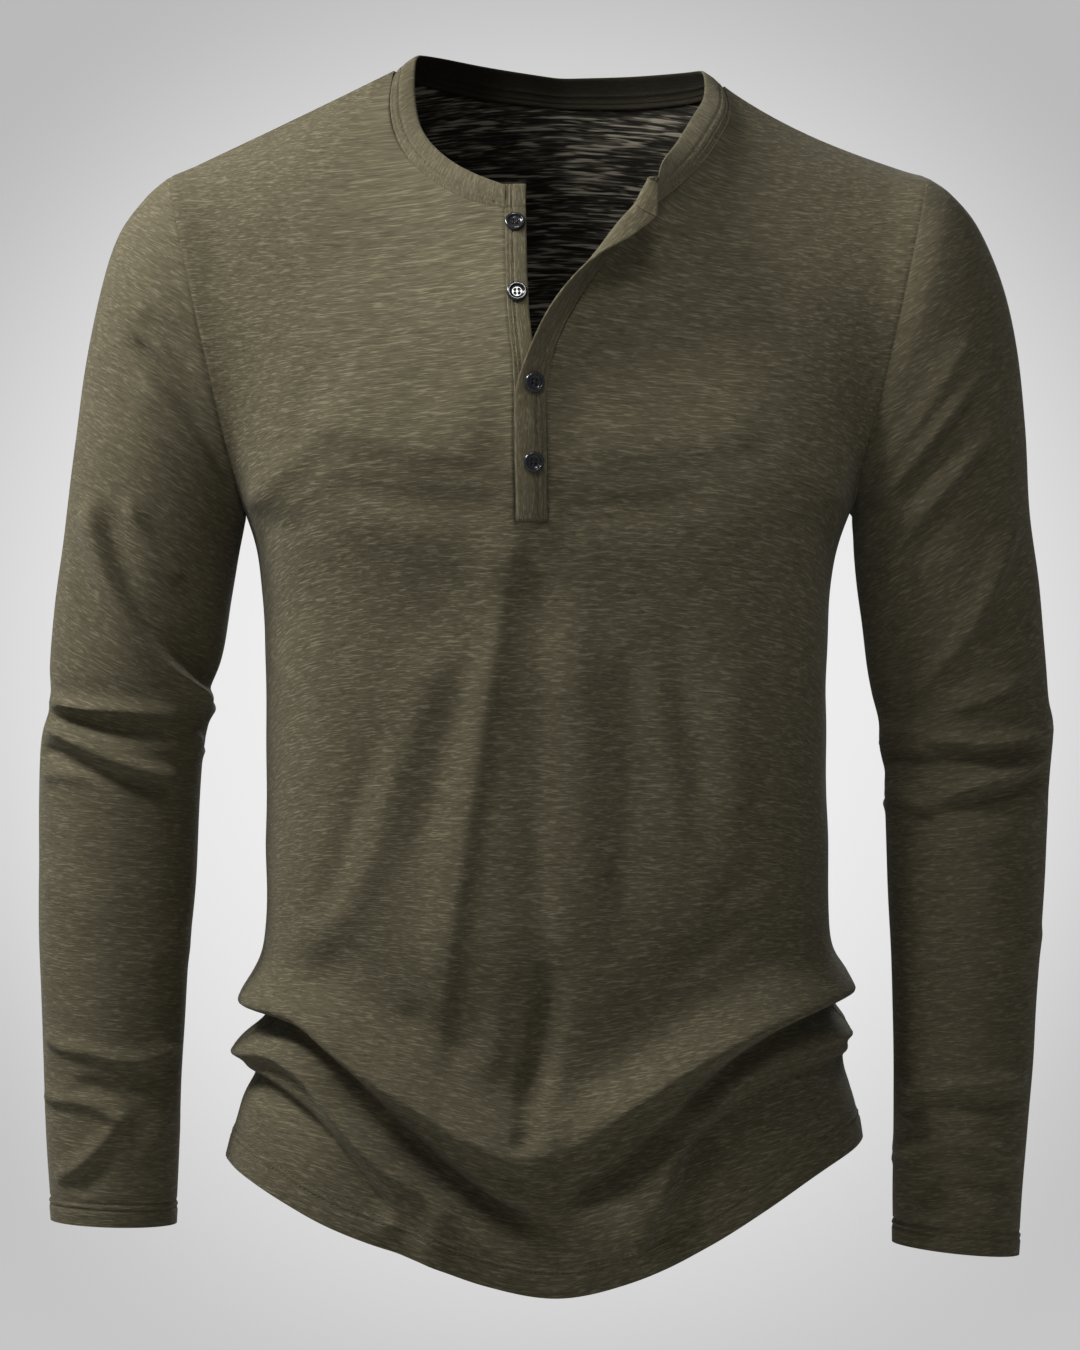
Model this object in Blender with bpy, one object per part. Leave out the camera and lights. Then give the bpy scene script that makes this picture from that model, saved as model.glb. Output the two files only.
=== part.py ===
"""Henley shirt, men's M: long sleeves, curved hem, four-button neck placket left half open.

The shirt keeps the hollow form it has when worn. Axes: +X is the wearer's left, -Y the
front, +Z up. The origin is the middle of the neck opening at the height of the shoulders,
where the wearer carries it. Sizes in this file are millimetres unless a name says otherwise.
"""

import math
from collections import namedtuple

import bmesh
import bpy
import numpy as np

MM = 0.001

# ---------------------------------------------------------------- driving sizes
WALL = 2.0                 # jersey with its turned-in edges, as a solid wall
HALF_GAP = 0.17            # each piece stops this far short of the seam line
UNDERARM_Z = -263.0        # level of both underarm points
PLACKET_FOOT_Z = -271.5    # level where the neck opening's box ends
TORSO_ROUNDNESS = 0.05     # how far the sections fill out towards a rectangle
ARMHOLE_HALF_DEPTH = 61.0
NECK_COLUMNS = 6           # columns of one half panel that end on the neckline
SHOULDER_COLUMNS = 6       # columns of one half panel that end on the shoulder seam
NECK_SHARE = 0.40          # share of a half panel's width that lies below the neckline
BODY_ROWS = 26             # rows between hem and underarm
YOKE_ROWS = 12             # rows between underarm and shoulder
SLEEVE_ROWS = 26
ROW_CROWDING = 1.4         # how much closer the body's rows lie near the hem
RELAX_PASSES = 14          # passes that even out the yoke, and how far each one goes
RELAX_PULL = 0.6
RELAX_ROWS = 5             # rows above the underarm over which they come in
HEM_READING_Z = -657.5     # level whose angles place the hem's points
ARMHOLE_REACH = 0.45       # share of a half panel from which it turns to the armhole
ROUND_ARM = 4.0            # radii a column heads out by, to run round the arm
CORNER_SLACK = 0.3         # how much the columns below the neck corner ease off
PLACKET_EASE = 2.2         # how soon the pull of the placket's edge fades
BACK_CREASE_SHARE = 0.8    # a sleeve's creases behind: how deep, and how far lower
BACK_CREASE_DROP = 7.0
WORN_IN_ROWS = 4           # rings over which a sleeve's creases come in
BAND_WALL = 2.4
PLACKET_WALL = 2.2
BUTTON_RADIUS = 5.9
BUTTON_HEIGHT = 2.6

FRONT, BACK = -1, 1        # sign of Y on each panel
RIGHT, LEFT = -1, 1        # the wearer's right is at -X
MIDDLE_ANGLE = {RIGHT: -4.9, LEFT: 0.1}    # degrees; the placket's width at its foot
PLACKET_REACH = {RIGHT: 0.30, LEFT: 0.42}    # share of a half panel that its edge pulls

# ---------------------------------------------------------------- short tables
Section = namedtuple("Section", "z centre half_width front back")
SECTIONS = (
    Section(-715, -9, 187, 119, 112),
    Section(-645, -9, 186, 119, 113),
    Section(-620, -8, 181.5, 118, 113),
    Section(-600, -7.5, 177, 116, 112),
    Section(-570, -7.5, 174.5, 113, 110),
    Section(-545, -7.5, 169, 110, 107),
    Section(-516, -7, 164, 107.5, 103),
    Section(-450, -7.5, 162.5, 105, 95),
    Section(-400, -8, 162, 104, 91),
    Section(-350, -8, 162, 105, 91),
    Section(-310, -8, 164, 108, 95),
    Section(-280, -7.5, 169, 113, 100),
    Section(-255, -7, 178, 117, 104),
)

# Angle of the side seam round the body, in degrees from the centre front.
SeamAngle = namedtuple("SeamAngle", "z right left")
SEAM_ANGLES = (
    SeamAngle(-715, -80, 93),
    SeamAngle(-400, -81, 93),
    SeamAngle(-320, -85, 92),
    SeamAngle(-255, -88, 91),
)

# Hem level over the width of the body: share is -1 at the right side seam, 1 at the left.
HemPoint = namedtuple("HemPoint", "share front back")
HEM = (
    HemPoint(-1.00, -633, -633),
    HemPoint(-0.88, -643, -643),
    HemPoint(-0.66, -663.5, -662),
    HemPoint(-0.42, -680.5, -680),
    HemPoint(-0.18, -697, -692),
    HemPoint(0.05, -704, -697),
    HemPoint(0.25, -696, -690),
    HemPoint(0.45, -680, -677),
    HemPoint(0.66, -656, -657),
    HemPoint(0.86, -634, -636),
    HemPoint(1.00, -623, -623),
)

# The neckline: the seam to the panels and the free upper edge of the band.
NeckPoint = namedtuple("NeckPoint", "place seam edge")
NECK_RIGHT = (
    NeckPoint("placket", (-31.6, -77, -93), (-31.4, -71, -79)),
    NeckPoint("front", (-51, -70, -88), (-48, -62, -72)),
    NeckPoint("front", (-73, -53, -75), (-65, -46, -61)),
    NeckPoint("side", (-91, -31, -55), (-79, -27, -44)),
    NeckPoint("side", (-99, -11, -28), (-84, -8, -21)),
    NeckPoint("shoulder", (-97, 8, -5), (-84, 6, 4.5)),
)
NECK_BACK_RIGHT = (
    NeckPoint("shoulder", (-97, 8, -5), (-84, 6, 4.5)),
    NeckPoint("back", (-83, 37, -7), (-73, 31, 6.0)),
    NeckPoint("back", (-48, 62, -13), (-43, 56, 3.0)),
    NeckPoint("centre", (0, 74, -18), (0, 67, -2.5)),
)
NECK_BACK_LEFT = (
    NeckPoint("shoulder", (96, 8, -14), (84, 6, -4.5)),
    NeckPoint("back", (83, 37, -17), (73, 31, -3.0)),
    NeckPoint("back", (48, 62, -19), (43, 56, -2.5)),
    NeckPoint("centre", (0, 74, -18), (0, 67, -2.5)),
)
NECK_LEFT = (
    NeckPoint("placket", (50, -107, -94), (55, -101, -78)),
    NeckPoint("front", (62, -86, -83), (57, -84, -68)),
    NeckPoint("front", (78, -61, -66), (66, -58, -54)),
    NeckPoint("side", (91, -37, -46), (76, -33, -36)),
    NeckPoint("side", (98, -13, -29), (84, -9, -20)),
    NeckPoint("shoulder", (96, 8, -14), (84, 6, -4.5)),
)
# How the columns of a half panel arrive at its upper edge: inwards, across the shoulder, up.
Arrival = namedtuple("Arrival", "share front_in front_deep front_up back_in back_deep back_up")
ARRIVAL = (
    Arrival(0.00, 0.00, 0.75, 0.66, 0.00, 0.34, 0.94),
    Arrival(0.10, 0.25, 0.55, 0.75, 0.15, 0.36, 0.92),
    Arrival(0.20, 0.48, 0.40, 0.78, 0.32, 0.37, 0.87),
    Arrival(0.32, 0.78, 0.25, 0.55, 0.58, 0.45, 0.68),
    Arrival(0.40, 0.60, 0.48, 0.64, 0.42, 0.80, 0.44),
    Arrival(0.50, 0.30, 0.76, 0.56, 0.25, 0.93, 0.25),
    Arrival(0.62, 0.14, 0.90, 0.38, 0.10, 0.99, 0.08),
    Arrival(0.80, 0.04, 0.99, 0.14, 0.02, 1.00, 0.00),
    Arrival(1.00, 0.00, 1.00, 0.00, 0.00, 1.00, 0.00),
)
SHOULDER_POINT = {RIGHT: (-226.5, 6, -67.5), LEFT: (212.5, 6, -67.5)}
SHOULDER_SAG = {RIGHT: 0.5, LEFT: 6.0}     # how far each shoulder seam hangs in the middle

# The two edges that the placket is sewn to, and the placket's own free edges.
EdgePoint = namedtuple("EdgePoint", "seam crest free")
BUTTON_SIDE = (
    EdgePoint((-24.8, -114.7, -271.5), (-18, -113.8, -271.5), (-11.5, -113.0, -271.5)),
    EdgePoint((-26.0, -118.0, -226), (-19, -117.0, -226), (-12, -116.2, -226)),
    EdgePoint((-26.2, -116.5, -192), (-20, -116.0, -192), (-13.5, -115.4, -192)),
    EdgePoint((-30.0, -104.0, -150), (-24, -104.2, -150), (-17.7, -103.5, -150)),
    EdgePoint((-31.2, -89.5, -115), (-25.5, -89.9, -115), (-19.0, -89.0, -115)),
    EdgePoint((-31.6, -77.0, -93), (-25.8, -77.4, -93), (-19.5, -77.0, -93)),
)
HOLE_SIDE = (
    EdgePoint((-7.2, -114.7, -271.5), (-15, -118.8, -271.5), (-24.6, -119.4, -271.5)),
    EdgePoint((-7.7, -118.0, -226), (-15.5, -122.2, -226), (-25.6, -122.7, -226)),
    EdgePoint((-7.5, -117.8, -197), (-15.5, -122.4, -197), (-25.0, -123.5, -197)),
    EdgePoint((-1.5, -115.5, -171), (-9.5, -123.0, -172), (-16.5, -129.0, -174)),
    EdgePoint((10.5, -112.0, -147), (4.0, -121.0, -147), (-1.0, -130.0, -146)),
    EdgePoint((29.0, -109.5, -121), (23.0, -119.0, -120), (21.0, -128.5, -125)),
    EdgePoint((50.0, -107.0, -94), (42.5, -118.5, -97), (52.0, -119.0, -101)),
)

# A sleeve's rings run from an outer point to an inner point, in the front view.
Ring = namedtuple("Ring", "outer_x outer_z inner_x inner_z half_depth centre_y")
SLEEVE_RIGHT = (
    Ring(-240.5, -79.5, -182.2, -266, 62, 1),
    Ring(-256, -101.5, -183, -270.5, 62, 1),
    Ring(-266.8, -135.5, -184.5, -277.5, 60.5, 1),
    Ring(-275.2, -180, -187, -290, 58, 1),
    Ring(-281.7, -226, -190.5, -312, 55, 1),
    Ring(-287.2, -275.5, -194, -336.5, 52, 2),
    Ring(-293.5, -319, -199, -360, 50, 3),
    Ring(-296.5, -350, -201, -375, 49, 4),
    Ring(-296, -372, -204.5, -386, 46.5, 5),
    Ring(-301, -395, -207, -401.5, 47, 4),
    Ring(-302, -429, -209, -430, 45.5, 2),
    Ring(-302, -475, -211.5, -476, 43.5, -2),
    Ring(-300.5, -531, -215.4, -532, 41, -7),
    Ring(-298.4, -580, -218.2, -581.5, 39, -11),
    Ring(-295.8, -626.5, -220, -628, 37.5, -14),
    Ring(-293.4, -670, -221.8, -672.5, 36, -16),
)
SLEEVE_LEFT = (
    Ring(226.5, -77.5, 169.5, -265, 62, 1),
    Ring(242.5, -97, 169.5, -269, 62, 1),
    Ring(256.4, -130, 170, -276.5, 60.5, 1),
    Ring(264.7, -168.5, 170.7, -288, 58, 1),
    Ring(269.5, -212, 172.5, -307.5, 55, 1),
    Ring(272.6, -264, 175.3, -328, 52, 2),
    Ring(278, -307.5, 178.2, -349.5, 50, 3),
    Ring(281.5, -345, 181.5, -366.5, 49, 4),
    Ring(283.5, -370, 185.5, -383, 47, 5),
    Ring(286.3, -387, 185.7, -397.5, 47, 4),
    Ring(284.2, -417.5, 188, -420.5, 46, 2),
    Ring(283, -446.5, 188.6, -446.5, 45, 0),
    Ring(280, -487.5, 190.5, -487.5, 43.5, -3),
    Ring(276, -536.5, 192.1, -533.5, 41, -7),
    Ring(272.6, -583, 192.4, -580, 39, -11),
    Ring(268.6, -632, 192.2, -628, 37.5, -14),
    Ring(264, -690, 192.4, -683, 36, -17),
)

# Folds. The path is walked from its first point, height is how far the cloth stands out
# (or sinks in, when negative), above and below are the widths on the path's two sides.
Fold = namedtuple("Fold", "path height above below start end")
FRONT_FOLDS = (
    Fold(((-196, -543), (-150, -557), (-126, -582), (-100, -608), (-69, -630), (-38, -650),
          (0, -668)), 10, 30, 17, 5, 70),
    Fold(((-196, -565), (-150, -586), (-128, -612), (-104, -638), (-70, -666), (-30, -688)),
         -9, 16, 18, 5, 60),
    Fold(((-198, -578), (-172, -596), (-146, -624), (-122, -650), (-98, -674)),
         10, 16, 15, 5, 40),
    Fold(((4, -626), (35, -604), (82, -574), (128, -549), (176, -533)), 10, 28, 17, 70, 5),
    Fold(((30, -648), (78, -608), (126, -577), (176, -554)), -8, 16, 18, 50, 5),
    Fold(((70, -626), (105, -607), (142, -588), (182, -569)), 9, 15, 16, 45, 5),
    Fold(((66, -656), (104, -640), (144, -620), (184, -600)), -4, 13, 16, 40, 8),
    Fold(((-28, -272), (-36, -325), (-42, -373), (-50, -421), (-57, -469), (-64, -517)),
         5.5, 15, 16, 40, 60),
    Fold(((-38, -291), (-50, -344), (-68, -390), (-77, -421), (-88, -457), (-96, -505)),
         -4.5, 15, 16, 30, 50),
    Fold(((-74, -361), (-92, -411), (-110, -469), (-140, -505), (-166, -528)),
         4, 17, 18, 50, 50),
    Fold(((-12, -301), (-10, -361), (-10, -409), (-8, -469), (-6, -517)),
         -4.5, 13, 14, 30, 60),
    Fold(((62, -325), (78, -397), (88, -450)), -2.5, 17, 18, 50, 50),
)
BACK_FOLDS = (
    Fold(((-196, -543), (-150, -562), (-105, -586), (-50, -602), (10, -600)),
         10, 28, 15, 5, 60),
    Fold(((-196, -565), (-150, -586), (-100, -612), (-40, -628)), -8, 15, 17, 5, 50),
    Fold(((176, -533), (130, -550), (86, -572), (30, -588)), 10, 15, 26, 5, 60),
    Fold(((176, -554), (128, -576), (80, -600), (20, -614)), -8, 17, 15, 5, 50),
    Fold(((-198, -578), (-160, -600), (-110, -632), (-60, -650)), 9, 17, 14, 5, 45),
    Fold(((182, -569), (140, -590), (96, -618), (50, -638)), 8, 14, 17, 5, 45),
    Fold(((-60, -330), (-66, -400), (-58, -470)), 4, 16, 18, 60, 60),
    Fold(((44, -320), (52, -390), (46, -470)), 3.5, 16, 20, 60, 60),
    Fold(((-8, -340), (-4, -410), (-8, -480)), -3.5, 14, 14, 60, 60),
)
SLEEVE_RIGHT_FOLDS = (
    Fold(((-292, -376), (-268, -380), (-240, -383), (-206, -384)), 4.5, 7, 8, 8, 25),
    Fold(((-298, -386), (-277, -394), (-258, -404), (-236, -413), (-214, -420)),
         5.5, 7, 6, 5, 30),
    Fold(((-296, -402), (-270, -409), (-250, -416)), -4, 6, 8, 8, 25),
    Fold(((-261, -289), (-254, -310), (-244, -330), (-230, -347), (-212, -362)),
         3.5, 8, 7, 25, 20),
    Fold(((-244, -180), (-231, -194), (-216, -214), (-200, -233), (-190, -248)),
         3.5, 8, 8, 25, 15),
    Fold(((-293, -575), (-270, -580), (-238, -584), (-222, -577)), 3, 8, 8, 12, 12),
    Fold(((-296, -604), (-273, -605), (-258, -613)), 3, 7, 7, 8, 15),
)
SLEEVE_LEFT_FOLDS = (
    Fold(((283, -390), (254, -399), (222, -398), (206, -396)), 5.5, 7, 7, 5, 30),
    Fold(((276, -408), (242, -406), (214, -410), (190, -414)), -4, 6, 7, 12, 12),
    Fold(((280, -412), (266, -418), (242, -424), (214, -432)), 4.5, 7, 7, 6, 25),
    Fold(((278, -420), (242, -430), (214, -440), (196, -446)), -3.5, 6, 8, 10, 20),
    Fold(((258, -286), (246, -316), (229, -340), (212, -360), (200, -374)),
         4, 8, 8, 25, 20),
    Fold(((234, -192), (218, -218), (200, -246), (192, -262)), 3.5, 8, 8, 25, 20),
    Fold(((246, -222), (226, -246), (208, -268), (194, -288)), 3, 7, 8, 25, 20),
    Fold(((262, -599), (236, -602), (208, -600)), 3, 7, 7, 12, 15),
    Fold(((262, -638), (236, -634), (202, -638)), -3, 7, 7, 12, 15),
)

# The four buttons: how far up the placket each sits, 0 at the foot and 1 at the neck.
BUTTONS_ON_UNDER = (0.944, 0.703)
BUTTONS_ON_OVER = (0.404, 0.173)

# The two ends of the neckband that cover the placket's top, from its seam to its free edge.
TAB_EDGE = {
    RIGHT: ((-31.4, -71.0, -79), (-25.6, -71.2, -79), (-19.4, -71.0, -79)),
    LEFT: ((55, -101, -78), (49.5, -112, -80.5), (54.5, -114, -84)),
}

Finish = namedtuple("Finish", "colour roughness")
FINISHES = {
    "jersey": Finish((0.110, 0.096, 0.062), 0.90),
    "button": Finish((0.012, 0.012, 0.013), 0.28),
}


# ---------------------------------------------------------------- curves and tables
def read(table, key, column, at):
    """Return a smooth curve through one column of a table, at any level of its key."""
    levels = np.array([getattr(row, key) for row in table], dtype=float)
    values = np.array([getattr(row, column) for row in table], dtype=float)
    return hermite_through(levels, values, np.asarray(at, dtype=float))


def hermite_through(levels, values, at):
    """Return a cubic curve through values, given at rising levels, read at new levels."""
    slopes = np.gradient(values, levels, axis=0)
    at = np.clip(at, levels[0], levels[-1])
    cell = np.clip(np.searchsorted(levels, at, side="right") - 1, 0, len(levels) - 2)
    width = levels[cell + 1] - levels[cell]
    t = (at - levels[cell]) / width
    if values.ndim == 2:
        t = t[..., None]
        width = width[..., None]
    first = (2 * t**3 - 3 * t**2 + 1) * values[cell] + (t**3 - 2 * t**2 + t) * width * slopes[cell]
    second = (3 * t**2 - 2 * t**3) * values[cell + 1] + (t**3 - t**2) * width * slopes[cell + 1]
    return first + second


def along(points, share):
    """Return points on a smooth curve through a short list, at shares of its length."""
    points = np.array(points, dtype=float)
    steps = np.linalg.norm(np.diff(points, axis=0), axis=1)
    levels = np.concatenate([[0.0], np.cumsum(steps)]) / steps.sum()
    return hermite_through(levels, points, np.asarray(share, dtype=float))


def smoothstep(low, high, value):
    """Return 0 below low, 1 above high and a soft ramp between them."""
    t = np.clip((value - low) / (high - low), 0.0, 1.0)
    return t * t * (3 - 2 * t)


def unit(vectors):
    """Return vectors scaled to length one."""
    return vectors / np.maximum(np.linalg.norm(vectors, axis=-1, keepdims=True), 1e-9)


def fold_height(folds, x, z):
    """Return how far a set of folds lifts the cloth at points of the front view."""
    total = np.zeros_like(x)
    for fold in folds:
        line = along(fold.path, np.linspace(0, 1, 25))
        best = np.full(x.shape, 1e9)
        offset = np.zeros_like(x)
        walked = np.zeros_like(x)
        length = 0.0
        for start, end in zip(line[:-1], line[1:]):
            run = end - start
            size = np.hypot(*run)
            t = np.clip(((x - start[0]) * run[0] + (z - start[1]) * run[1]) / size**2, 0, 1)
            dx = x - start[0] - t * run[0]
            dz = z - start[1] - t * run[1]
            far = np.hypot(dx, dz)
            side = np.sign(run[0] * dz - run[1] * dx) * np.sign(line[-1, 0] - line[0, 0] + 1e-6)
            closer = far < best
            best = np.where(closer, far, best)
            offset = np.where(closer, side * far, offset)
            walked = np.where(closer, length + t * size, walked)
            length += size
        spread = np.where(offset > 0, fold.above, fold.below)
        profile = np.exp(-((offset / spread) ** 2))
        ends = smoothstep(0, fold.start, walked) * smoothstep(0, fold.end, length - walked)
        total += fold.height * profile * ends
    return total


# ---------------------------------------------------------------- the body's surface
def across_share(theta):
    """Return how far across the body an angle lies, from -1 at the right to 1."""
    k = TORSO_ROUNDNESS
    return (np.sin(theta) + k * np.sin(3 * theta)) / (1 - k)


def body_frame(theta, z):
    """Return a point on the unfolded body and the direction that the cloth faces there."""
    half = read(SECTIONS, "z", "half_width", z)
    front = read(SECTIONS, "z", "front", z)
    back = read(SECTIONS, "z", "back", z)
    k = TORSO_ROUNDNESS
    across = across_share(theta)
    ahead = (np.cos(theta) - k * np.cos(3 * theta)) / (1 - k)
    depth = np.where(ahead > 0, front, back)
    point = np.stack([read(SECTIONS, "z", "centre", z) + half * across, -depth * ahead, z], -1)
    turn_x = (np.cos(theta) + 3 * k * np.cos(3 * theta)) * half
    turn_y = (np.sin(theta) - 3 * k * np.sin(3 * theta)) * depth
    facing = unit(np.stack([turn_y, -turn_x, np.zeros_like(turn_x)], -1))
    return point, facing


def body(theta, z):
    """Return points of the body below the underarm, with its folds."""
    theta, z = np.broadcast_arrays(np.asarray(theta, float), np.asarray(z, float))
    point, facing = body_frame(theta, z)
    x = point[..., 0]
    to_front = smoothstep(-0.35, 0.25, np.cos(theta))
    lift = to_front * fold_height(FRONT_FOLDS, x, z)
    lift += (1 - to_front) * fold_height(BACK_FOLDS, x, z)
    return point + facing * lift[..., None]


def side_angle(side, z):
    """Return the side seam's angle, in radians, at a level."""
    return np.radians(read(SEAM_ANGLES, "z", "right" if side == RIGHT else "left", z))


def column_angle(panel, side, share, z):
    """Return the angle of a half panel's column; share is 0 at the middle, 1 at the side."""
    seam = side_angle(side, z)
    if panel == BACK:
        return side * math.pi + share * (seam - side * math.pi)
    middle = np.radians(MIDDLE_ANGLE[side])
    return middle + share * (seam - middle)


def hem_level(panel, side, share):
    """Return the hem's height on a half panel."""
    sideways = across_share(column_angle(panel, side, share, HEM_READING_Z))
    return read(HEM, "share", "front" if panel == FRONT else "back", sideways)


def base_level(share):
    """Return the level where a half panel's lower and upper rows meet."""
    return PLACKET_FOOT_Z + (UNDERARM_Z - PLACKET_FOOT_Z) * np.asarray(share) ** 2


def underarm(side):
    """Return the underarm point."""
    return body(side_angle(side, UNDERARM_Z), UNDERARM_Z)


def armhole(side, phi):
    """Return a point on the armhole; phi is 0 on the shoulder and 90 degrees in front."""
    top = np.array(SHOULDER_POINT[side], dtype=float)
    low = underarm(side)
    phi = np.asarray(phi, dtype=float)[..., None]
    forward = np.array([0.0, -ARMHOLE_HALF_DEPTH, 0.0])
    return (top + low) / 2 + (top - low) / 2 * np.cos(phi) + forward * np.sin(phi)


def armhole_inward(side, phi):
    """Return the direction from a point of the armhole to its middle, in its plane."""
    centre = (armhole(side, 0.0) + armhole(side, math.pi)) / 2
    radius = np.linalg.norm(armhole(side, 0.0) - centre)
    point = armhole(side, phi) - centre
    along_top = unit(armhole(side, 0.0) - centre)
    a = (point @ along_top) / radius**2
    b = point[..., 1] / ARMHOLE_HALF_DEPTH**2
    return -unit(a[..., None] * along_top + b[..., None] * np.array([0.0, 1.0, 0.0]))


# ---------------------------------------------------------------- the yoke
def neck_table(panel, side):
    """Return the neckline's table for a half panel, from its middle to the shoulder."""
    if panel == FRONT:
        return NECK_RIGHT if side == RIGHT else NECK_LEFT
    return (NECK_BACK_RIGHT if side == RIGHT else NECK_BACK_LEFT)[::-1]


def top_edge(panel, side, share):
    """Return a half panel's upper edge: neckline first, then shoulder seam."""
    share = np.asarray(share, dtype=float)
    seam = [row.seam for row in neck_table(panel, side)]
    on_neck = along(seam, np.clip(share / NECK_SHARE, 0, 1))
    out = np.clip((share - NECK_SHARE) / (1 - NECK_SHARE), 0, 1)[..., None]
    neck_point = np.array(seam[-1], dtype=float)
    line = neck_point + (np.array(SHOULDER_POINT[side], dtype=float) - neck_point) * out
    line = line - np.array([0, 0, SHOULDER_SAG[side]]) * np.sin(np.pi * out**0.8)
    return np.where(share[..., None] <= NECK_SHARE, on_neck, line)


def top_direction(panel, side, share):
    """Return the way a half panel's columns run as they reach its upper edge."""
    place = "front" if panel == FRONT else "back"
    inward, deep, up = (read(ARRIVAL, "share", f"{place}_{way}", share)
                        for way in ("in", "deep", "up"))
    return unit(np.stack([-side * inward, -panel * deep, up], -1))


def placket_edge(side, share, column):
    """Return a curve of the placket's table; share is 0 at its foot and 1 at the neck."""
    table = BUTTON_SIDE if side == RIGHT else HOLE_SIDE
    share = np.asarray(share, dtype=float)
    foot = body(column_angle(FRONT, side, 0.0, PLACKET_FOOT_Z), PLACKET_FOOT_Z)
    shift = foot - np.array(table[0].seam)
    line = along([getattr(row, column) for row in table], share)
    return line + shift * ((1 - share) ** 2)[..., None]


def yoke(panel, side, share, rise):
    """Return points of a half panel between underarm level (rise 0) and its top (1)."""
    share, rise = np.broadcast_arrays(np.asarray(share, float), np.asarray(rise, float))
    plain = yoke_plain(panel, side, share, rise)
    phi = math.pi * (1 - rise)
    loop = armhole(side, phi if panel == FRONT else -phi)
    ends = yoke_plain(panel, side, np.ones_like(rise), rise)
    point = plain + (loop - ends) * smoothstep(ARMHOLE_REACH, 1.0, share)[..., None]
    if panel == FRONT:
        edge = placket_edge(side, rise, "seam")
        start = yoke_plain(panel, side, np.zeros_like(rise), rise)
        keep = np.clip(1 - share / PLACKET_REACH[side], 0, 1) ** PLACKET_EASE
        point = point + (edge - start) * keep[..., None]
    return point


def yoke_plain(panel, side, share, rise):
    """Return the yoke as columns that leave the body upwards and roll over the shoulder."""
    z = base_level(share)
    theta = column_angle(panel, side, share, z)
    low = body(theta, z)
    high = top_edge(panel, side, share)
    climb = body(theta, z + 2.0) - body(theta, z - 2.0)
    span = np.linalg.norm(high - low, axis=-1)[..., None]
    leave = unit(climb) * span
    at_neck_corner = smoothstep(0.0, NECK_SHARE, share) * smoothstep(1.0, NECK_SHARE, share)
    slack = 1 - CORNER_SLACK * at_neck_corner[..., None]
    arrive = top_direction(panel, side, share) * span * slack
    round_arm = np.array([0.0, ROUND_ARM * ARMHOLE_HALF_DEPTH * panel, 0.0])
    near_arm = smoothstep(NECK_SHARE, 1.0, share)[..., None]
    leave = leave + (round_arm - leave) * near_arm
    arrive = arrive + (-round_arm - arrive) * near_arm
    t = rise[..., None]
    return ((2 * t**3 - 3 * t**2 + 1) * low + (t**3 - 2 * t**2 + t) * leave
            + (3 * t**2 - 2 * t**3) * high + (t**3 - t**2) * arrive)


def column_shares():
    """Return where the columns of a half panel stand, from its middle to its side."""
    neck = np.linspace(0, NECK_SHARE, NECK_COLUMNS + 1)
    shoulder = np.linspace(NECK_SHARE, 1, SHOULDER_COLUMNS + 1)
    return np.concatenate([neck, shoulder[1:]])


def half_panel(panel, side):
    """Return the outer points of a half panel: rows from the hem up, columns outwards."""
    shares = column_shares()
    rows = []
    for step in np.linspace(0, 1, BODY_ROWS + 1):
        hem = hem_level(panel, side, shares)
        level = hem + (base_level(shares) - hem) * step**ROW_CROWDING
        rows.append(body(column_angle(panel, side, shares, level), level))
    for step in np.linspace(0, 1, YOKE_ROWS + 1)[1:]:
        rows.append(yoke(panel, side, shares, step))
    return relax(np.array(rows))


def relax(grid):
    """Even out the yoke rows of a half panel; their outline stays where it is."""
    rise = np.arange(len(grid)) - BODY_ROWS
    pull = RELAX_PULL * smoothstep(0, RELAX_ROWS, rise)[1:-1, None, None]
    for _ in range(RELAX_PASSES):
        around = grid[:-2, 1:-1] + grid[2:, 1:-1] + grid[1:-1, :-2] + grid[1:-1, 2:]
        grid[1:-1, 1:-1] += (around / 4 - grid[1:-1, 1:-1]) * pull
    return grid


# ---------------------------------------------------------------- walls from grids
def grid_normals(grid, closed=False):
    """Return the way a grid of points faces, averaged over the cells round each point."""
    rows, columns, _ = grid.shape
    total = np.zeros_like(grid)
    last = columns if closed else columns - 1
    for j in range(last):
        k = (j + 1) % columns
        cell = np.cross(grid[1:, k] - grid[:-1, j], grid[1:, j] - grid[:-1, k])
        for column in (j, k):
            total[:-1, column] += cell
            total[1:, column] += cell
    return unit(total)


def set_back(grid, closed=False):
    """Move the outline of a grid half a seam gap into the piece."""
    moved = grid.copy()
    moved[0] += unit(grid[1] - grid[0]) * HALF_GAP
    moved[-1] += unit(grid[-2] - grid[-1]) * HALF_GAP
    if not closed:
        moved[:, 0] += unit(grid[:, 1] - grid[:, 0]) * HALF_GAP
        moved[:, -1] += unit(grid[:, -2] - grid[:, -1]) * HALF_GAP
    return moved


def wall(name, outer, inner, finish, closed=False, gap_columns=(), gap_from=0):
    """Make a solid between two grids of points; columns in gap_columns stay uncut below
    row gap_from and are left open above it."""
    rows, columns, _ = outer.shape
    points = np.concatenate([outer.reshape(-1, 3), inner.reshape(-1, 3)]) * MM
    offset = rows * columns
    cells = []
    for i in range(rows - 1):
        for j in range(columns if closed else columns - 1):
            if j in gap_columns and i >= gap_from:
                continue
            k = (j + 1) % columns
            cells.append((i * columns + j, i * columns + k,
                          (i + 1) * columns + k, (i + 1) * columns + j))
    edges = {}
    for cell in cells:
        for start, end in zip(cell, cell[1:] + cell[:1]):
            edges[(start, end)] = True
    faces = list(cells)
    faces += [tuple(index + offset for index in reversed(cell)) for cell in cells]
    for start, end in edges:
        if (end, start) not in edges:
            faces.append((end, start, start + offset, end + offset))
    return make_object(name, points, faces, finish)


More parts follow.
